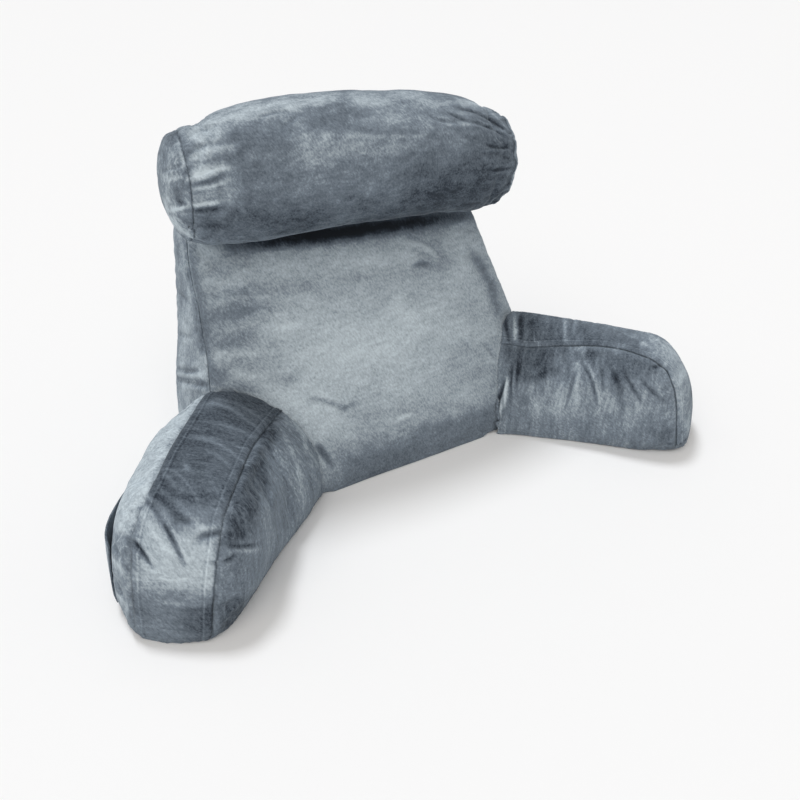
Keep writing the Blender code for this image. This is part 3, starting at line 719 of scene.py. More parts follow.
def settle(surface, sight, x, y):
    """The point of a surface that a sight's point falls on, or the nearest one to its line."""
    start, way = ray(sight, x, y)
    hit = surface.ray_cast(start, way)[0]
    if hit:
        return hit
    steps = [start + way * (SEEK_FROM + SEEK_STEP * i) for i in range(SEEK_COUNT)]
    return min((surface.find_nearest(step) for step in steps), key=lambda found: found[3])[0]


def seen(sight, points, normals):
    """Where each point shows in a sight, and how far its surface faces the sight."""
    if sight == "camera":
        forward, right, up = (np.array(way) for way in gaze(CAMERA_TURN, CAMERA_DROP))
        off = points - np.array(CAMERA_AT)
        size = FOCAL_PIXELS / (off @ forward)
        places = FRAME_PIXELS / 2 + np.stack([off @ right * size, -(off @ up) * size], axis=1)
        facing = -(normals * off).sum(axis=1) / np.linalg.norm(off, axis=1)
    else:
        row = SIGHTS[sight]
        forward, right, up = (np.array(way) for way in gaze(math.radians(row.turn), math.radians(row.drop)))
        off = points - np.array(SIGHT_MIDDLE)
        places = np.stack([off @ right, off @ up], axis=1) / MM
        facing = -(normals @ forward)
    return places, smooth_step(facing / FACING)


def arc(path, share):
    """A point of the soft arc through a path's start, middle and end."""
    a, m, b = (np.array(p, float) for p in path)
    c = 2 * m - (a + b) / 2
    return (1 - share) ** 2 * a + 2 * share * (1 - share) * c + share ** 2 * b


def laid_line(surface, sight, path, steps=14):
    return np.array([settle(surface, sight, *arc(path, i / (steps - 1))) for i in range(steps)])


def laid_edge(surface, sight, path, steps=5):
    """A path of many corners laid on a surface."""
    places = [np.array(a) + (np.array(b) - a) * i / steps for a, b in zip(path, path[1:])
              for i in range(steps)]
    return np.array([settle(surface, sight, *place) for place in [*places, path[-1]]])


def along_line(points, line):
    """Each point's distance from a line, its share along it and the nearest place on it."""
    away = np.full(len(points), np.inf)
    share = np.zeros(len(points))
    near = points.copy()
    for i, (a, b) in enumerate(zip(line, line[1:])):
        run = b - a
        t = np.clip((points - a) @ run / max(run @ run, TINY), 0, 1)
        far = np.linalg.norm(points - a - t[:, None] * run, axis=1)
        closer = far < away
        away[closer] = far[closer]
        share[closer] = (i + t[closer]) / (len(line) - 1)
        near[closer] = (a + t[:, None] * run)[closer]
    return away, share, near


# Mesh helpers.

def read_points(mesh):
    flat = np.empty(len(mesh.vertices) * 3, np.float32)
    mesh.vertices.foreach_get("co", flat)
    return flat.reshape(-1, 3).astype(float)


def read_normals(mesh):
    flat = np.empty(len(mesh.vertices) * 3, np.float32)
    mesh.vertex_normals.foreach_get("vector", flat)
    return flat.reshape(-1, 3).astype(float)


def write_points(mesh, points):
    mesh.vertices.foreach_set("co", points.astype(np.float32).ravel())
    mesh.update()


def write_marks(mesh, name, values):
    layer = mesh.attributes.get(name) or mesh.attributes.new(name, "FLOAT", "POINT")
    layer.data.foreach_set("value", values.astype(np.float32))


def surface_of(obj):
    bm = bmesh.new()
    bm.from_mesh(obj.data)
    tree = BVHTree.FromBMesh(bm)
    bm.free()
    return tree


centres = {}


def plump(node, point):
    """Push a point of a node as far as the plumper places of its part do."""
    _, right, up = gaze(CAMERA_TURN, CAMERA_DROP)
    total = Vector()
    for row in (row for row in BULGES if node.startswith(row.part)):
        if row not in centres:
            cushion = surface_of(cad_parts[row.part + "_cushion"])
            centres[row] = settle(cushion, "camera", *row.place)
        away = (point - centres[row]).length / (row.reach * MM)
        total += (right * row.push[0] + up * row.push[1]) * MM * math.exp(-away ** 2)
    return Vector((point.x + total.x, point.y + total.y, max(point.z + total.z * (point.z > CLEAR), 0)))


def merged(nodes):
    """The faces of some CAD nodes as one bmesh, plumped, doubles merged and triangle pairs joined."""
    bm = bmesh.new()
    for node in nodes:
        first = len(bm.verts)
        bm.from_mesh(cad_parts[node].data)
        bm.verts.ensure_lookup_table()
        for vert in bm.verts[first:]:
            vert.co = plump(node, vert.co)
    bmesh.ops.remove_doubles(bm, verts=bm.verts, dist=MERGE)
    bmesh.ops.join_triangles(bm, faces=bm.faces, angle_face_threshold=math.pi,
                             angle_shape_threshold=math.pi)
    return bm


def object_from(name, bm):
    mesh = bpy.data.meshes.new(name)
    bm.to_mesh(mesh)
    bm.free()
    if "custom_normal" in mesh.attributes:
        mesh.attributes.remove(mesh.attributes["custom_normal"])
    mesh.materials.clear()
    obj = bpy.data.objects.new(name, mesh)
    bpy.context.scene.collection.objects.link(obj)
    return obj


def modifier(obj, kind, **values):
    added = obj.modifiers.new(kind.lower(), kind)
    for name, value in values.items():
        setattr(added, name, value)
    return added


def apply_modifiers(obj):
    graph = bpy.context.evaluated_depsgraph_get()
    mesh = bpy.data.meshes.new_from_object(obj.evaluated_get(graph))
    obj.modifiers.clear()
    obj.data = mesh


def outer_regions(bm, core):
    """Split a thin closed shell at its sharp edges; return the faces of the side away from its core."""
    left = set(bm.faces)
    regions = []
    for first in bm.faces:
        if first not in left:
            continue
        left.discard(first)
        region, todo = [], [first]
        while todo:
            face = todo.pop()
            region.append(face)
            for edge in face.edges:
                if len(edge.link_faces) == 2 and edge.calc_face_angle() < SHARP:
                    for other in edge.link_faces:
                        if other in left:
                            left.discard(other)
                            todo.append(other)
        regions.append(region)
    regions.sort(key=lambda faces: -sum(face.calc_area() for face in faces))

    def stand_off(faces):
        return sum(core.find_nearest(face.calc_center_median())[3] for face in faces) / len(faces)

    return max(regions[:2], key=stand_off)


def edge_chains(edges):
    """Some edges of a mesh as chains of points, in the same order each time."""
    left = {edge.index: edge for edge in edges}
    links = {}
    for edge in edges:
        for vert in edge.verts:
            links.setdefault(vert.index, []).append(edge.index)
    starts = [edge for edge in edges if any(len(links[vert.index]) == 1 for vert in edge.verts)]
    for first in starts + edges:
        if first.index not in left:
            continue
        del left[first.index]
        start, vert = sorted(first.verts, key=lambda v: (len(links[v.index]), v.index))
        chain = [start.co.copy(), vert.co.copy()]
        while True:
            onward = [index for index in links[vert.index] if index in left]
            if not onward:
                break
            vert = left.pop(onward[0]).other_vert(vert)
            chain.append(vert.co.copy())
        yield chain


class Seam:
    """A sheet's sewn edges: how far a point is from them, and where along them."""

    def __init__(self, obj, junction):
        bm = bmesh.new()
        bm.from_mesh(obj.data)
        edges = [edge for edge in bm.edges if edge.is_boundary and self.sewn(edge, junction)]
        self.length, places, self.runs = 0.0, [], []
        for chain in edge_chains(edges):
            for a, b in zip(chain, chain[1:]):
                count = max(1, round((b - a).length / SEAM_STEP))
                for i in range(count):
                    places.append(a.lerp(b, i / count))
                    self.runs.append(self.length + (b - a).length * i / count)
                self.length += (b - a).length
        bm.free()
        self.tree = KDTree(len(places))
        for i, place in enumerate(places):
            self.tree.insert(place, i)
        self.tree.balance()

    @staticmethod
    def sewn(edge, junction):
        """Hems on the floor, and ends that face the cushion which they join, are not sewn edges."""
        middle = (edge.verts[0].co + edge.verts[1].co) / 2
        if middle.z < HEM_TOP:
            return False
        found, normal, _, far = junction.find_nearest(middle, JUNCTION_REACH) if junction else [None] * 4
        way = middle - edge.link_faces[0].calc_center_median()
        return not found or (far > END_GAP and -way.normalized().dot(normal) < END_FACING)

    def measure(self, points):
        away, run = np.empty(len(points)), np.empty(len(points))
        for i, point in enumerate(points):
            _, index, distance = self.tree.find(point)
            away[i], run[i] = distance, self.runs[index]
        return away, run


made = {}
seams = {}
tops = {}
forms = {}


def form_of(node):
    """The fused form of a cushion and its flush sheets, before its filling swells it."""
    if node not in forms:
        row = next(row for row in CUSHIONS if row.node == node)
        bm = merged([row.node, *row.fused])
        crease = bm.edges.layers.float.new("crease_edge")
        for edge in bm.edges:
            if len(edge.link_faces) == 2 and edge.calc_face_angle() > SHARP:
                edge[crease] = 1
        obj = object_from(row.name, bm)
        modifier(obj, "SUBSURF", levels=1, render_levels=1)
        modifier(obj, "REMESH", mode="VOXEL", voxel_size=row.voxel * MM)
        apply_modifiers(obj)
        modifier(obj, "SUBSURF", levels=1, render_levels=1)
        graph = bpy.context.evaluated_depsgraph_get()
        surface = BVHTree.FromObject(obj, graph)
        obj.modifiers.clear()
        forms[node] = (obj, surface)
    return forms[node]


def true_edges(obj, form, junction):
    """Draw a sheet's edges onto their paths on the cushion's form, and ease the cloth beside them."""
    rows = [row for row in EDGES if row.piece == obj.name]
    if not rows:
        return
    bm = bmesh.new()
    bm.from_mesh(obj.data)
    sewn = [edge for edge in bm.edges if edge.is_boundary and Seam.sewn(edge, junction)]
    rim = sorted({vert.index for edge in sewn for vert in edge.verts})
    bm.free()
    points = read_points(obj.data)
    move = np.zeros((len(rim), 3))
    for row in rows:
        away, _, near = along_line(points[rim], laid_edge(form, row.sight, row.path))
        pull = smooth_step((row.reach * MM - away) / EDGE_FADE)
        move += (near - points[rim]) * pull[:, None]
    tree = KDTree(len(rim))
    for i, index in enumerate(rim):
        tree.insert(points[index], i)
    tree.balance()
    for i, point in enumerate(points.copy()):
        found = tree.find_n(point, EDGE_POINTS)
        ease = 1 - float(smooth_step(found[0][2] / EDGE_SPREAD))
        drawn = np.mean([move[index] for _, index, _ in found], axis=0) * ease
        shift = np.linalg.norm(drawn)
        if shift > MERGE:
            onto = np.array(form.find_nearest(point + drawn)[0])
            share = min(1, shift / MM)
            points[i] = (point + drawn) * (1 - share) + onto * share
    write_points(obj.data, points)


# Relief: outward moves pressed into a finished surface.

def smooth_step(value):
    t = np.clip(value, 0, 1)
    return t * t * (3 - 2 * t)


def fold_shape(away, width):
    """A soft trough with a low lip on both sides."""
    reach = away / width
    return -np.exp(-reach ** 2) + LIP_HEIGHT * np.exp(-((reach - LIP_PLACE) / LIP_WIDTH) ** 2)


def tapered(share, end, power):
    """1 at a line's middle, and less towards both of its ends."""
    return np.sin(np.pi * np.clip(share, end, 1 - end)) ** power


def crease_relief(obj, points, surface):
    total = np.zeros(len(points))
    for row in (row for row in CREASES if row.piece == obj.name):
        line = laid_line(surface, row.sight, row.path)
        away, share, _ = along_line(points, line)
        fade = tapered(share, *CREASE_TAPER)
        beyond = smooth_step(1 - (away - CREASE_REACH * row.width * MM) / (CREASE_FADE * row.width * MM))
        total += fold_shape(away, row.width * MM) * row.depth * MM * fade * beyond
    return total


def gather_relief(obj, points):
    total = np.zeros(len(points))
    for row in (row for row in GATHERS if row.piece == obj.name):
        seam = seams[row.seam]
        away, run = seam.measure(points)
        calm = SEAM_CALM + (1 - SEAM_CALM) * smooth_step(away / (GATHER_CALM * row.width * MM))
        draw = random.Random(row.seed)
        for i in range(int(seam.length / (row.spacing * MM))):
            place = (i + draw.uniform(-GATHER_JITTER, GATHER_JITTER)) * row.spacing * MM
            strength = draw.random() ** GATHER_UNEVEN
            reach = row.reach * MM * (GATHER_REACH_LEAST + GATHER_REACH_MORE * draw.random())
            width = row.width * MM * draw.uniform(*GATHER_WIDTHS)
            slant = row.slant * draw.uniform(*GATHER_SLANTS)
            off = run - place - slant * away
            off = np.abs((off + seam.length / 2) % seam.length - seam.length / 2)
            spread = width * (1 + away / reach * GATHER_WIDENING)
            fade = smooth_step(1 - away / reach) * calm
            total += fold_shape(off, spread) * row.depth * MM * (GATHER_DEPTH_LEAST + strength) * fade
    return total


def from_seam(obj, points):
    """How far each point is from its piece's nearest sewn edge."""
    names = [sheet.name for cushion in CUSHIONS for sheet in SHEETS
             if sheet.core == cushion.node and obj.name in (sheet.name, cushion.name)]
    return np.min([seams[name].measure(points)[0] for name in names], axis=0)


def crumple_relief(obj, points):
    total = np.zeros(len(points))
    for row in (row for row in CRUMPLES if row.piece == obj.name):
        shift = Vector((row.seed * 3.1, row.seed * 1.7, row.seed * 2.3))
        scaled = points / (row.size * MM)
        swell = [noise.noise(Vector(point) + shift) for point in scaled]
        total += np.array(swell) * row.height * MM
    return total * smooth_step(from_seam(obj, points) / SEAM_HOLD)


def inside(places, outline):
    """Whether each place lies in an outline."""
    x, y = places[:, 0], places[:, 1]
    within = np.zeros(len(places), bool)
    for (ax, ay), (bx, by) in zip(outline, outline[1:] + outline[:1]):
        if ay != by:
            crosses = (ay > y) != (by > y)
            within ^= crosses & (x < (bx - ax) * (y - ay) / (by - ay) + ax)
    return within


def pile_and_painted_light(obj, points, normals):
    """The tone that the patches and strokes give each point, with ragged edges: the pile's brushing, painted
    highlights and painted shade.
    """
    noise.seed_set(WANDER_SEED)
    wander = sum(share * np.array([noise.noise_vector(Vector(point) / size)[:2] for point in points])
                 for size, share in WANDERS)
    total = np.zeros(len(points))
    for row in (row for row in PATCHES if row.piece == obj.name):
        places, facing = seen(row.sight, points, normals)
        places = places + wander * min(row.width * RAGGED_SHARE, RAGGED)
        outline = [tuple(corner) for corner in row.outline]
        away, _, _ = along_line(places, np.array(outline + outline[:1], float))
        away[inside(places, outline)] *= -1
        total += row.tone * facing * smooth_step(0.5 - away / (2 * row.width))
    for row in (row for row in STROKES if row.piece == obj.name):
        places, facing = seen(row.sight, points, normals)
        places = places + wander * min(row.width * RAGGED_STROKE_SHARE, RAGGED_STROKE)
        line = np.array([arc(row.path, i / 8) for i in range(9)])
        away, share, _ = along_line(places, line)
        fade = tapered(share, *STROKE_TAPER)
        total += row.tone * facing * fade * np.exp(-(away / row.width) ** 2)
    return total


def press(obj):
    """Press the piece's creases, gathers and crumples into it, and keep the tone of its pile with its painted
    highlights and shade, and the folds' relief for painted shade in them.
    """
    mesh = obj.data
    points, normals = read_points(mesh), read_normals(mesh)
    surface = surface_of(obj)
    sharp_relief = crease_relief(obj, points, surface) + gather_relief(obj, points)
    # The marks' tone is kept on the points: the pile's brushing, with painted highlights and painted shade.
    write_marks(mesh, "nap", pile_and_painted_light(obj, points, normals))
    # The creases' and gathers' relief is kept for the material: painted shade in their troughs and painted
    # highlights on their lips.
    write_marks(mesh, "crease", np.clip(sharp_relief / MM, -CREASE_MOST, CREASE_MOST))
    moved = points + normals * (sharp_relief + crumple_relief(obj, points))[:, None]
    moved[:, 2] = np.maximum(moved[:, 2], 0)
    write_points(mesh, moved)


def write_seam(obj, names):
    """Keep each point's distance from the nearest sewn edge, in mm, for the seam lines."""
    points = read_points(obj.data)
    away = np.full(len(points), SEAM_SIGHT)
    for name in names:
        away = np.minimum(away, seams[name].measure(points)[0] / MM)
    write_marks(obj.data, "seam", away)


def tuck_under(obj, sheet, depth):
    """Keep a cushion below a sheet, and sink it in a soft groove beside the sheet's edge."""
    tree, flat_normals = tops[sheet.name]
    points = read_points(obj.data)
    for i, point in enumerate(points):
        found, _, face, far = tree.find_nearest(point, TUCK_REACH)
        if found is None:
            continue
        normal = flat_normals[face]
        off = point - np.array(found)
        height = off @ normal
        beside = math.sqrt(max(far * far - height * height, 0))
        most = -depth if beside < CLEAR else -(sheet.edge * MM + CLEAR) * math.exp(-(beside / GROOVE) ** 2)
        if -TUCK_REACH < most - height < 0:
            points[i] += normal * (most - height)
    points[:, 2] = np.maximum(points[:, 2], 0)
    write_points(obj.data, points)


def clear_of(obj, other, gap=CLEAR, reach=20 * MM):
    """Push a piece's points out of another piece."""
    surface = surface_of(other)
    points = read_points(obj.data)
    for i, point in enumerate(points):
        found, normal, _, _ = surface.find_nearest(point, reach)
        if found is None:
            continue
        height = (Vector(point) - found).dot(normal)
        if height < gap:
            points[i] += np.array(normal) * (gap - height)
    points[:, 2] = np.maximum(points[:, 2], 0)
    write_points(obj.data, points)


def ease_clear(obj, other):
    """Push a sheet out of a cushion, with the push shared among the points near each one."""
    start = read_points(obj.data)
    clear_of(obj, other)
    push = read_points(obj.data) - start
    tree = KDTree(len(start))
    for i, point in enumerate(start):
        tree.insert(point, i)
    tree.balance()
    shared = [push[[index for _, index, _ in tree.find_range(point, EASE_REACH)]].mean(axis=0)
              for point in start]
    write_points(obj.data, start + np.array(shared))


# Materials.

def add(tree, kind, inputs=(), **values):
    """Add a node, set its settings, and give each input its value or the output that feeds it."""
    node = tree.nodes.new(kind)
    for name, value in values.items():
        setattr(node, name, value)
    for socket, value in dict(inputs).items():
        if isinstance(value, bpy.types.NodeSocket):
            tree.links.new(value, node.inputs[socket])
        else:
            node.inputs[socket].default_value = value
    return node


def new_material(name):
    material = bpy.data.materials.new(name)
    material.use_nodes = True
    material.node_tree.nodes.clear()
    return material, material.node_tree


def velour(row):
    """Polyester velour, warp-knitted and sheared: a short dense pile that shows a lighter or darker
    side as it is brushed, a soft sheen at its edges and no gloss."""
    look = settings()
    material, tree = new_material("polyester_velour_" + row.name)

    def blend(*values, operation="MULTIPLY_ADD", **more):
        return add(tree, "ShaderNodeMath", dict(enumerate(values)), operation=operation, **more).outputs[0]

    def cloud(vector, scale, detail=4.0, rough=0.6):
        return add(tree, "ShaderNodeTexNoise", {"Vector": vector, "Scale": scale, "Detail": detail,
                                                "Roughness": rough}).outputs["Fac"]

    def line(distance, width):
        """1 on a line and 0 at its width away."""
        return add(tree, "ShaderNodeMapRange", {"Value": blend(distance, operation="ABSOLUTE"),
                                                "From Max": width, "To Min": 1.0, "To Max": 0.0},
                   interpolation_type="SMOOTHSTEP").outputs[0]

    place = add(tree, "ShaderNodeTexCoord").outputs["Object"]
    turned = add(tree, "ShaderNodeMapping", {"Vector": place, "Rotation": Euler(
        [-math.radians(angle) for angle in row.turn])}).outputs[0]
    lay = add(tree, "ShaderNodeMapping", {"Vector": turned, "Scale": row.stretch}).outputs[0]
    # The hand's strokes leave the pile in swirls, so every pattern is bent by a slow noise.
    swirl = add(tree, "ShaderNodeTexNoise", {"Vector": lay, "Scale": SWIRL_RATE,
                                             "Detail": 2.0}).outputs["Color"]
    swirled = add(tree, "ShaderNodeVectorMath", {0: swirl, 1: [SWIRL_BEND] * 3, 2: lay},
                  operation="MULTIPLY_ADD").outputs[0]
    patch = cloud(swirled, PATCH_RATE, 5.0)
    mottle = cloud(swirled, MOTTLE_RATE)
    streak = cloud(swirled, STREAK_RATE)
    # Single tufts are under 1 mm and too fine to show, so they are drawn as slanted clumps of 2 by 4 mm.
    lean = PILE_LIE.rotation_difference(Vector((0, 0, 1))).to_euler()
    leaning = add(tree, "ShaderNodeMapping", {"Vector": place, "Rotation": lean}).outputs[0]
    slant = add(tree, "ShaderNodeMapping", {"Vector": leaning, "Scale": (1.0, 1.0, 0.5)}).outputs[0]
    pile = cloud(slant, TUFT_RATE, 3.0, 0.75)
    # Fine light hairs stand where a fingertip has crossed the pile: contour lines of a stretched noise.
    drawn = add(tree, "ShaderNodeMapping", {"Vector": swirled, "Scale": (0.5, 1.4, 1.4)}).outputs[0]
    hair = line(blend(cloud(drawn, HAIR_RATE, 1.0, 0.4), 0.5, operation="SUBTRACT"), 0.014)
    hair = blend(hair, line(blend(patch, 0.62, operation="SUBTRACT"), 0.2), operation="MULTIPLY")
    # The marks' tone: the pile's brushing, with painted highlights and painted shade.
    nap = add(tree, "ShaderNodeAttribute", attribute_name="nap").outputs["Fac"]
    # Painted shade in the troughs of creases and gathers, and painted highlights on their lips.
    crease = add(tree, "ShaderNodeAttribute", attribute_name="crease").outputs["Fac"]
    seam = add(tree, "ShaderNodeAttribute", attribute_name="seam").outputs["Fac"]
    # The tone sums the pile's patterns, the marks' painted highlights and shade, painted shade in fold
    # troughs with painted highlights on their lips, and the seam line.
    tone = row.tone
    for source, gain, middle in ((patch, row.patches * 2, 0.5), (mottle, row.patches, 0.5),
                                 (streak, row.streaks * 2, 0.5), (pile, look.pile_contrast, 0.5),
                                 (hair, row.hairs, 0.0), (nap, 1.0, 0.0), (crease, 0.08, 0.0),
                                 (line(seam, SEAM_LINE), row.sewn, 0.0)):
        tone = blend(blend(source, middle, operation="SUBTRACT"), gain, tone)
    if row.hem:
        # Painted highlight along the ridge of the seam allowance below, and painted shade beside it.
        allowance_highlight = line(blend(seam, row.hem, operation="SUBTRACT"), ALLOWANCE_HIGHLIGHT)
        beside = line(blend(seam, row.hem + FOLD_SHADE_OFF, operation="SUBTRACT"), FOLD_SHADE)
        tone = blend(allowance_highlight, blend(mottle, 0.24, operation="MULTIPLY"), tone)
        tone = blend(beside, -0.08, tone)
    # Tones below 0, the painted shade, fall towards the painted shade colour at the ramp's first stop.
    ramp = add(tree, "ShaderNodeValToRGB", {"Fac": blend(tone, 1 - SHADE_SHARE, SHADE_SHARE)})
    stops = ramp.color_ramp.elements
    stops[0].color = (*look.painted_shade_colour, 1)
    stops[1].color = (*look.light_colour, 1)
    stops.new(SHADE_SHARE).color = (*look.dark_colour, 1)
    stops.new((1 + SHADE_SHARE) / 2).color = (*look.middle_colour, 1)
    weave = add(tree, "ShaderNodeBump", {"Height": streak, "Strength": 0.35, "Distance": 1.0 * MM})
    bump = add(tree, "ShaderNodeBump", {"Height": pile, "Strength": look.pile_bump, "Distance": 0.5 * MM,
                                        "Normal": weave.outputs[0]})
    shader = add(tree, "ShaderNodeBsdfPrincipled", {
        "Base Color": ramp.outputs["Color"],
        "Roughness": 0.92,
        "Specular IOR Level": 0.2,
        "Sheen Weight": look.sheen,
        "Sheen Roughness": 0.45,
        "Sheen Tint": (*look.light_colour, 1),
        "Normal": bump.outputs[0],
    })
    add(tree, "ShaderNodeOutputMaterial", {"Surface": shader.outputs[0]})
    return material


def finish_of(name):
    material = bpy.data.materials.get("polyester_velour_" + name)
    return material or velour(next(row for row in FINISHES if row.name == name))


def dress(obj, row):
    """Give a finished piece its material, parent it to the root body and hide the CAD node that it stands
    for.
    """
    obj.data.shade_smooth()
    obj.data.materials.append(finish_of(row.finish))
    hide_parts(row.node)
    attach(obj, "root")
    made[obj.name] = obj


# Pieces.

def smooth_end(obj, junction):
    """Smooth the end that a sheet is cut to where it meets the cushion that it joins."""
    bm = bmesh.new()
    bm.from_mesh(obj.data)
    end = {edge for edge in bm.edges if edge.is_boundary and not Seam.sewn(edge, junction)
           and min(vert.co.z for vert in edge.verts) > HEM_TOP}
    rim = {vert: [edge.other_vert(vert) for edge in vert.link_edges if edge in end]
           for edge in end for vert in edge.verts}
    near = [vert for vert in bm.verts if not vert.is_boundary
            and junction.find_nearest(vert.co, JUNCTION_REACH)[0]]
    for _ in range(END_ROUNDS):
        places = {vert: (beside[0].co + beside[1].co) / 2 for vert, beside in rim.items() if len(beside) == 2}
        for vert, place in places.items():
            vert.co = vert.co.lerp(place, END_RIM_SHARE)
        bmesh.ops.smooth_vert(bm, verts=near, factor=END_CLOTH_SHARE,
                              use_axis_x=True, use_axis_y=True, use_axis_z=True)
    bm.to_mesh(obj.data)
    bm.free()


def make_sheet(row):
    """Smooth the outer side of a CAD sheet, press its marks in and give it its thickness."""
    core = BVHTree.FromBMesh(merged([row.core]))
    bm = merged([row.node])
    kept = set(outer_regions(bm, core))
    bmesh.ops.delete(bm, geom=[face for face in bm.faces if face not in kept], context="FACES")
    obj = object_from(row.name, bm)
    modifier(obj, "SUBSURF", levels=row.divisions, render_levels=row.divisions,
             boundary_smooth="PRESERVE_CORNERS")
    apply_modifiers(obj)
    if row.close < 1:
        draw_close(obj, core, row.close)
    junction = None if row.core == "back_cushion" else surface_of(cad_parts["back_cushion"])
    if row in BANDS:
        smooth_end(obj, junction)
    true_edges(obj, form_of(row.core)[1], junction)
    seams[row.name] = Seam(obj, junction)
    points, normals = read_points(obj.data), read_normals(obj.data)
    flat_normals = [np.mean([normals[v] for v in face.vertices], axis=0) for face in obj.data.polygons]
    away, _ = seams[row.name].measure(points)
    roll_in = -row.edge * MM * np.exp(-(away / ROLL_IN_WIDTH) ** 2)
    strip = row.allowance * MM * (smooth_step(away / ALLOWANCE_RISE)
                                  - smooth_step((away - ALLOWANCE_END) / ALLOWANCE_FADE))
    write_points(obj.data, points + normals * (roll_in + strip)[:, None])
    press(obj)
    if junction:
        ease_clear(obj, made["velour_back"])
    write_seam(obj, [row.name])
    tops[row.name] = (surface_of(obj), flat_normals)
    modifier(obj, "SOLIDIFY", thickness=settings().cloth_thickness, offset=-1)
    apply_modifiers(obj)
    points = read_points(obj.data)
    points[:, 2] = np.maximum(points[:, 2], CLEAR)
    write_points(obj.data, points)
    dress(obj, row)


def draw_close(obj, core, share):
    """Draw a sheet in towards the cushion, to a share of how far it stands off."""
    points = read_points(obj.data)
    for i, point in enumerate(points):
        _, normal, _, far = core.find_nearest(point)
        points[i] -= np.array(normal) * (1 - share) * max(far - settings().cloth_thickness, 0)
    write_points(obj.data, points)


def near_any(point, trees, limit):
    """How far a point is from the nearest of some surfaces, up to a limit."""
    hits = [tree.find_nearest(point, limit) for tree in trees]
    return min([hit[3] for hit in hits if hit[0]], default=limit)


def swell(obj, covered):
    """Fill a cushion by cloth pressure from a slightly smaller start, and cap how far it moves.

    It moves less and less towards the sheets sewn to it, where the seams hold it.
    """
    look = settings()
    start = read_points(obj.data)
    away = np.array([near_any(point, covered, PIN_FADE) for point in start])
    inset = start - read_normals(obj.data) * START_INSET
    inset[:, 2] = np.maximum(inset[:, 2], 0)
    pins = obj.vertex_groups.new(name="pins")
    held = np.flatnonzero((start[:, 2] < FLOOR_REACH) | (away < PIN_REACH)).tolist()
    pins.add(held, 1.0, "REPLACE")
    inset[held] = start[held]
    write_points(obj.data, inset)
    cloth = modifier(obj, "CLOTH")
    values = cloth.settings
    values.use_pressure = True
    values.uniform_pressure_force = look.pressure
    values.effector_weights.gravity = 0
    values.vertex_group_mass = "pins"
    values.quality = CLOTH_QUALITY
    values.mass = CLOTH_MASS
    values.bending_stiffness = CLOTH_BENDING
    values.shrink_min = -look.slack
    cloth.collision_settings.use_collision = False
    for number in range(1, SWELL_FRAMES + 1):
        bpy.context.scene.frame_set(number)
    apply_modifiers(obj)
    bpy.context.scene.frame_set(1)
    moved = read_points(obj.data) - inset
    far = np.linalg.norm(moved, axis=1)
    capped = inset + moved * np.minimum(1, look.swell_cap / np.maximum(far, TINY))[:, None]
    capped[:, 2] = np.maximum(capped[:, 2], 0)
    free = smooth_step((away - PIN_REACH) / (PIN_FADE - PIN_REACH))
    write_points(obj.data, start + (capped - start) * free[:, None])
    obj.vertex_groups.clear()


def make_cushion(row):
    """Fuse a cushion with its flush sheets, remesh it, swell it and press its marks in."""
    obj, _ = form_of(row.node)
    above = [sheet for sheet in SHEETS if sheet.core == row.node]
    swell(obj, [surface_of(made[sheet.name]) for sheet in above])
    modifier(obj, "SUBSURF", levels=1, render_levels=1)
    apply_modifiers(obj)
    press(obj)
    for sheet in above:
        tuck_under(obj, sheet, settings().cloth_thickness + CLEAR)
    write_seam(obj, [sheet.name for sheet in above])
    for other in ("velour_back", "velour_gusset"):
        if row.name != "velour_back" and other in made:
            clear_of(obj, made[other])
    dress(obj, row)


# Stage.

def add_sun(name, turn, drop, strength, spread, colour):
    """A broad lamp far away, so that it lights the floor evenly."""
    data = bpy.data.lights.new(name, "SUN")
    data.energy = strength
    data.color = colour
    data.angle = math.radians(spread)
    lamp = bpy.data.objects.new(name, data)
    forward = gaze(math.radians(turn), math.radians(drop))[0]
    lamp.rotation_euler = forward.to_track_quat("-Z", "Y").to_euler()
    bpy.context.scene.collection.objects.link(lamp)


def add_floor():
    """A pale paper floor that reaches the horizon."""
    bm = bmesh.new()
    bmesh.ops.create_grid(bm, x_segments=1, y_segments=1, size=FLOOR_SIZE)
    floor = object_from("paper_floor", bm)
    material, tree = new_material("matt_paper")
    shader = add(tree, "ShaderNodeBsdfPrincipled", {
        "Base Color": (*settings().floor_colour, 1),
        "Roughness": 0.9,
        "Specular IOR Level": 0.1,
    })
    add(tree, "ShaderNodeOutputMaterial", {"Surface": shader.outputs[0]})
    floor.data.materials.append(material)


def add_camera():
    data = bpy.data.cameras.new("camera")
    data.sensor_width = SENSOR_MM
    data.lens = FOCAL_PIXELS / FRAME_PIXELS * SENSOR_MM
    data.clip_start = 0.01
    camera = bpy.data.objects.new("camera", data)
    camera.location = CAMERA_AT
    camera.rotation_euler = (math.pi / 2 - CAMERA_DROP, 0, -CAMERA_TURN)
    bpy.context.scene.collection.objects.link(camera)
    bpy.context.scene.camera = camera


def add_world(strength):
    world = bpy.data.worlds.new("soft_studio")
    world.use_nodes = True
    world.node_tree.nodes.clear()
    sky = add(world.node_tree, "ShaderNodeBackground", {"Color": (1, 1, 1, 1), "Strength": strength})
    add(world.node_tree, "ShaderNodeOutputWorld", {"Surface": sky.outputs[0]})
    bpy.context.scene.world = world


# The add-on.

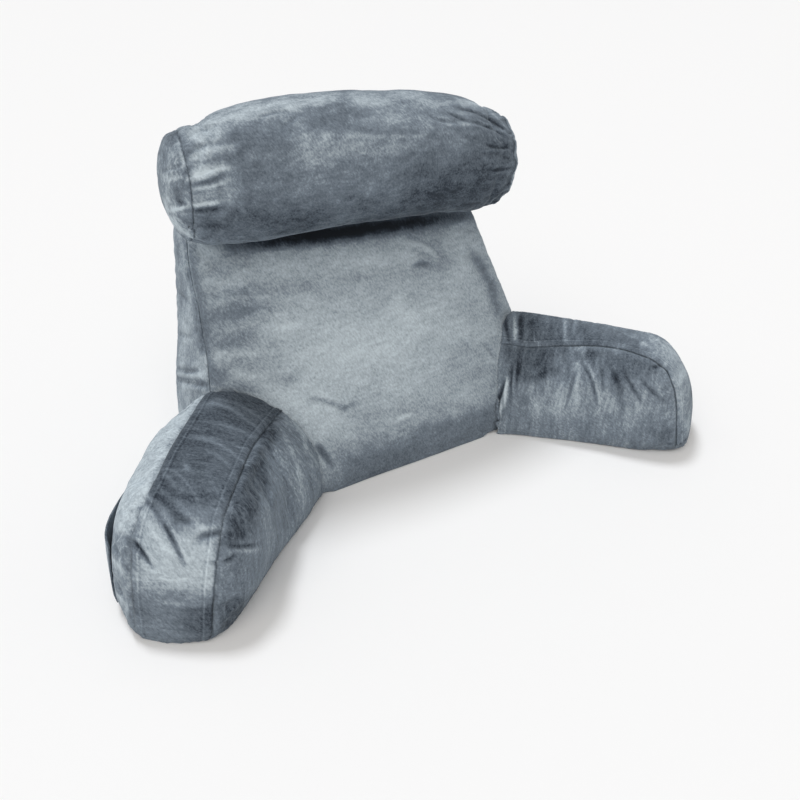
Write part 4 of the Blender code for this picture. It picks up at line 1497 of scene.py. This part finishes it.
class VelourPillowSettings(bpy.types.PropertyGroup):
    cloth_thickness: FloatProperty(
        name="Cloth thickness", description="Thickness of the velour sheets",
        default=1.8 * MM, min=0.001, max=0.003, unit="LENGTH")
    pressure: FloatProperty(
        name="Filling pressure", description="Pressure that swells the cushions", default=4.0)
    swell_cap: FloatProperty(
        name="Swell cap", description="How far the filling may push the cloth",
        default=5.0 * MM, unit="LENGTH")
    slack: FloatProperty(
        name="Slack", description="Share by which the cloth is cut larger than the form",
        default=0.03, subtype="FACTOR")
    # Painted shade: the colour that the darkest painted shade reaches, in folds and under the roll.
    painted_shade_colour: FloatVectorProperty(
        name="Pile in a fold", description="Velour at the bottom of a fold or a seam",
        default=linear("#1b1f25"), subtype="COLOR", min=0, max=1)
    dark_colour: FloatVectorProperty(
        name="Pile brushed away", description="Velour where the pile leans away from the eye",
        default=linear("#333b45"), subtype="COLOR", min=0, max=1)
    middle_colour: FloatVectorProperty(
        name="Pile upright", description="Velour where the pile stands upright",
        default=linear("#77828d"), subtype="COLOR", min=0, max=1)
    light_colour: FloatVectorProperty(
        name="Pile brushed up", description="Velour where the pile leans towards the eye",
        default=linear("#c6d2d9"), subtype="COLOR", min=0, max=1)
    floor_colour: FloatVectorProperty(
        name="Floor", description="Paper of the floor and backdrop",
        default=linear("#f4f4f4"), subtype="COLOR", min=0, max=1)
    pile_contrast: FloatProperty(
        name="Pile contrast", description="How much single tufts differ in tone", default=0.8)
    pile_bump: FloatProperty(
        name="Pile bump", description="How far tufts stand out", default=0.8)
    sheen: FloatProperty(
        name="Sheen", description="Glow of the pile seen edge on", default=0.25, subtype="FACTOR")
    key: FloatProperty(name="Key light", description="Strength of the main light", default=1.25)
    overhead: FloatProperty(name="Overhead light", description="Strength of the light from above",
                            default=1.35)
    key_colour: FloatVectorProperty(
        name="Key colour", description="Colour of the main light", default=linear("#fffaf4"),
        subtype="COLOR", min=0, max=1)
    overhead_colour: FloatVectorProperty(
        name="Overhead colour", description="Colour of the light from above", default=linear("#f8fbff"),
        subtype="COLOR", min=0, max=1)
    fill: FloatProperty(name="Fill", description="Brightness of the surrounding studio", default=0.39)


class MakePieces:
    """Make a group of like pieces, each sheet or cushion from its row."""
    bl_options = {"REGISTER", "UNDO"}
    rows = []

    def execute(self, context):
        for row in self.rows:
            make = make_sheet if isinstance(row, Sheet) else make_cushion
            make(row)
        return {"FINISHED"}


class PILLOW_OT_gusset(MakePieces, bpy.types.Operator):
    """Make the gusset round the sides and top of the back"""
    bl_idname = "pillow.gusset"
    bl_label = "Gusset"
    rows = GUSSETS


class PILLOW_OT_bands(MakePieces, bpy.types.Operator):
    """Make the bands over both arms"""
    bl_idname = "pillow.bands"
    bl_label = "Arm bands"
    rows = BANDS


class PILLOW_OT_roll_ends(MakePieces, bpy.types.Operator):
    """Make the gathered ends of the neck roll"""
    bl_idname = "pillow.roll_ends"
    bl_label = "Roll ends"
    rows = ROLL_ENDS


class PILLOW_OT_pocket(MakePieces, bpy.types.Operator):
    """Make the pocket on the left arm's outer side"""
    bl_idname = "pillow.pocket"
    bl_label = "Pocket"
    rows = POCKETS


class PILLOW_OT_back(MakePieces, bpy.types.Operator):
    """Make the leaning back cushion"""
    bl_idname = "pillow.back"
    bl_label = "Back"
    rows = BACKS


class PILLOW_OT_arms(MakePieces, bpy.types.Operator):
    """Make both arms"""
    bl_idname = "pillow.arms"
    bl_label = "Arms"
    rows = ARMS


class PILLOW_OT_roll(MakePieces, bpy.types.Operator):
    """Make the neck roll"""
    bl_idname = "pillow.roll"
    bl_label = "Neck roll"
    rows = ROLLS


class PILLOW_OT_stage(bpy.types.Operator):
    """Set up the camera, the lights and the paper floor"""
    bl_idname = "pillow.stage"
    bl_label = "Stage"

    def execute(self, context):
        look = settings()
        add_camera()
        add_sun("key", KEY_TURN, KEY_DROP, look.key, KEY_SPREAD, look.key_colour)
        add_sun("overhead", OVERHEAD_TURN, OVERHEAD_DROP, look.overhead, OVERHEAD_SPREAD,
                look.overhead_colour)
        add_world(look.fill)
        add_floor()
        context.scene.view_settings.view_transform = "Standard"
        return {"FINISHED"}


class PILLOW_PT_panel(bpy.types.Panel):
    bl_idname = "PILLOW_PT_panel"
    bl_label = "Velour Reading Pillow"
    bl_space_type = "VIEW_3D"
    bl_region_type = "UI"
    bl_category = "Pillow"

    def draw(self, context):
        for name in VelourPillowSettings.__annotations__:
            self.layout.prop(settings(), name)
        for operator in OPERATORS:
            self.layout.operator(operator.bl_idname)


OPERATORS = [PILLOW_OT_gusset, PILLOW_OT_back, PILLOW_OT_bands, PILLOW_OT_pocket, PILLOW_OT_arms,
             PILLOW_OT_roll_ends, PILLOW_OT_roll, PILLOW_OT_stage]
CLASSES = [VelourPillowSettings, *OPERATORS, PILLOW_PT_panel]


def register():
    for cls in CLASSES:
        bpy.utils.register_class(cls)
    bpy.types.Scene.velour_pillow = PointerProperty(type=VelourPillowSettings)


def unregister():
    del bpy.types.Scene.velour_pillow
    for cls in reversed(CLASSES):
        bpy.utils.unregister_class(cls)


def main():
    register()
    bpy.ops.pillow.gusset()
    bpy.ops.pillow.back()
    bpy.ops.pillow.bands()
    bpy.ops.pillow.pocket()
    bpy.ops.pillow.arms()
    bpy.ops.pillow.roll_ends()
    bpy.ops.pillow.roll()
    bpy.ops.pillow.stage()


if __name__ == "__main__":
    main()
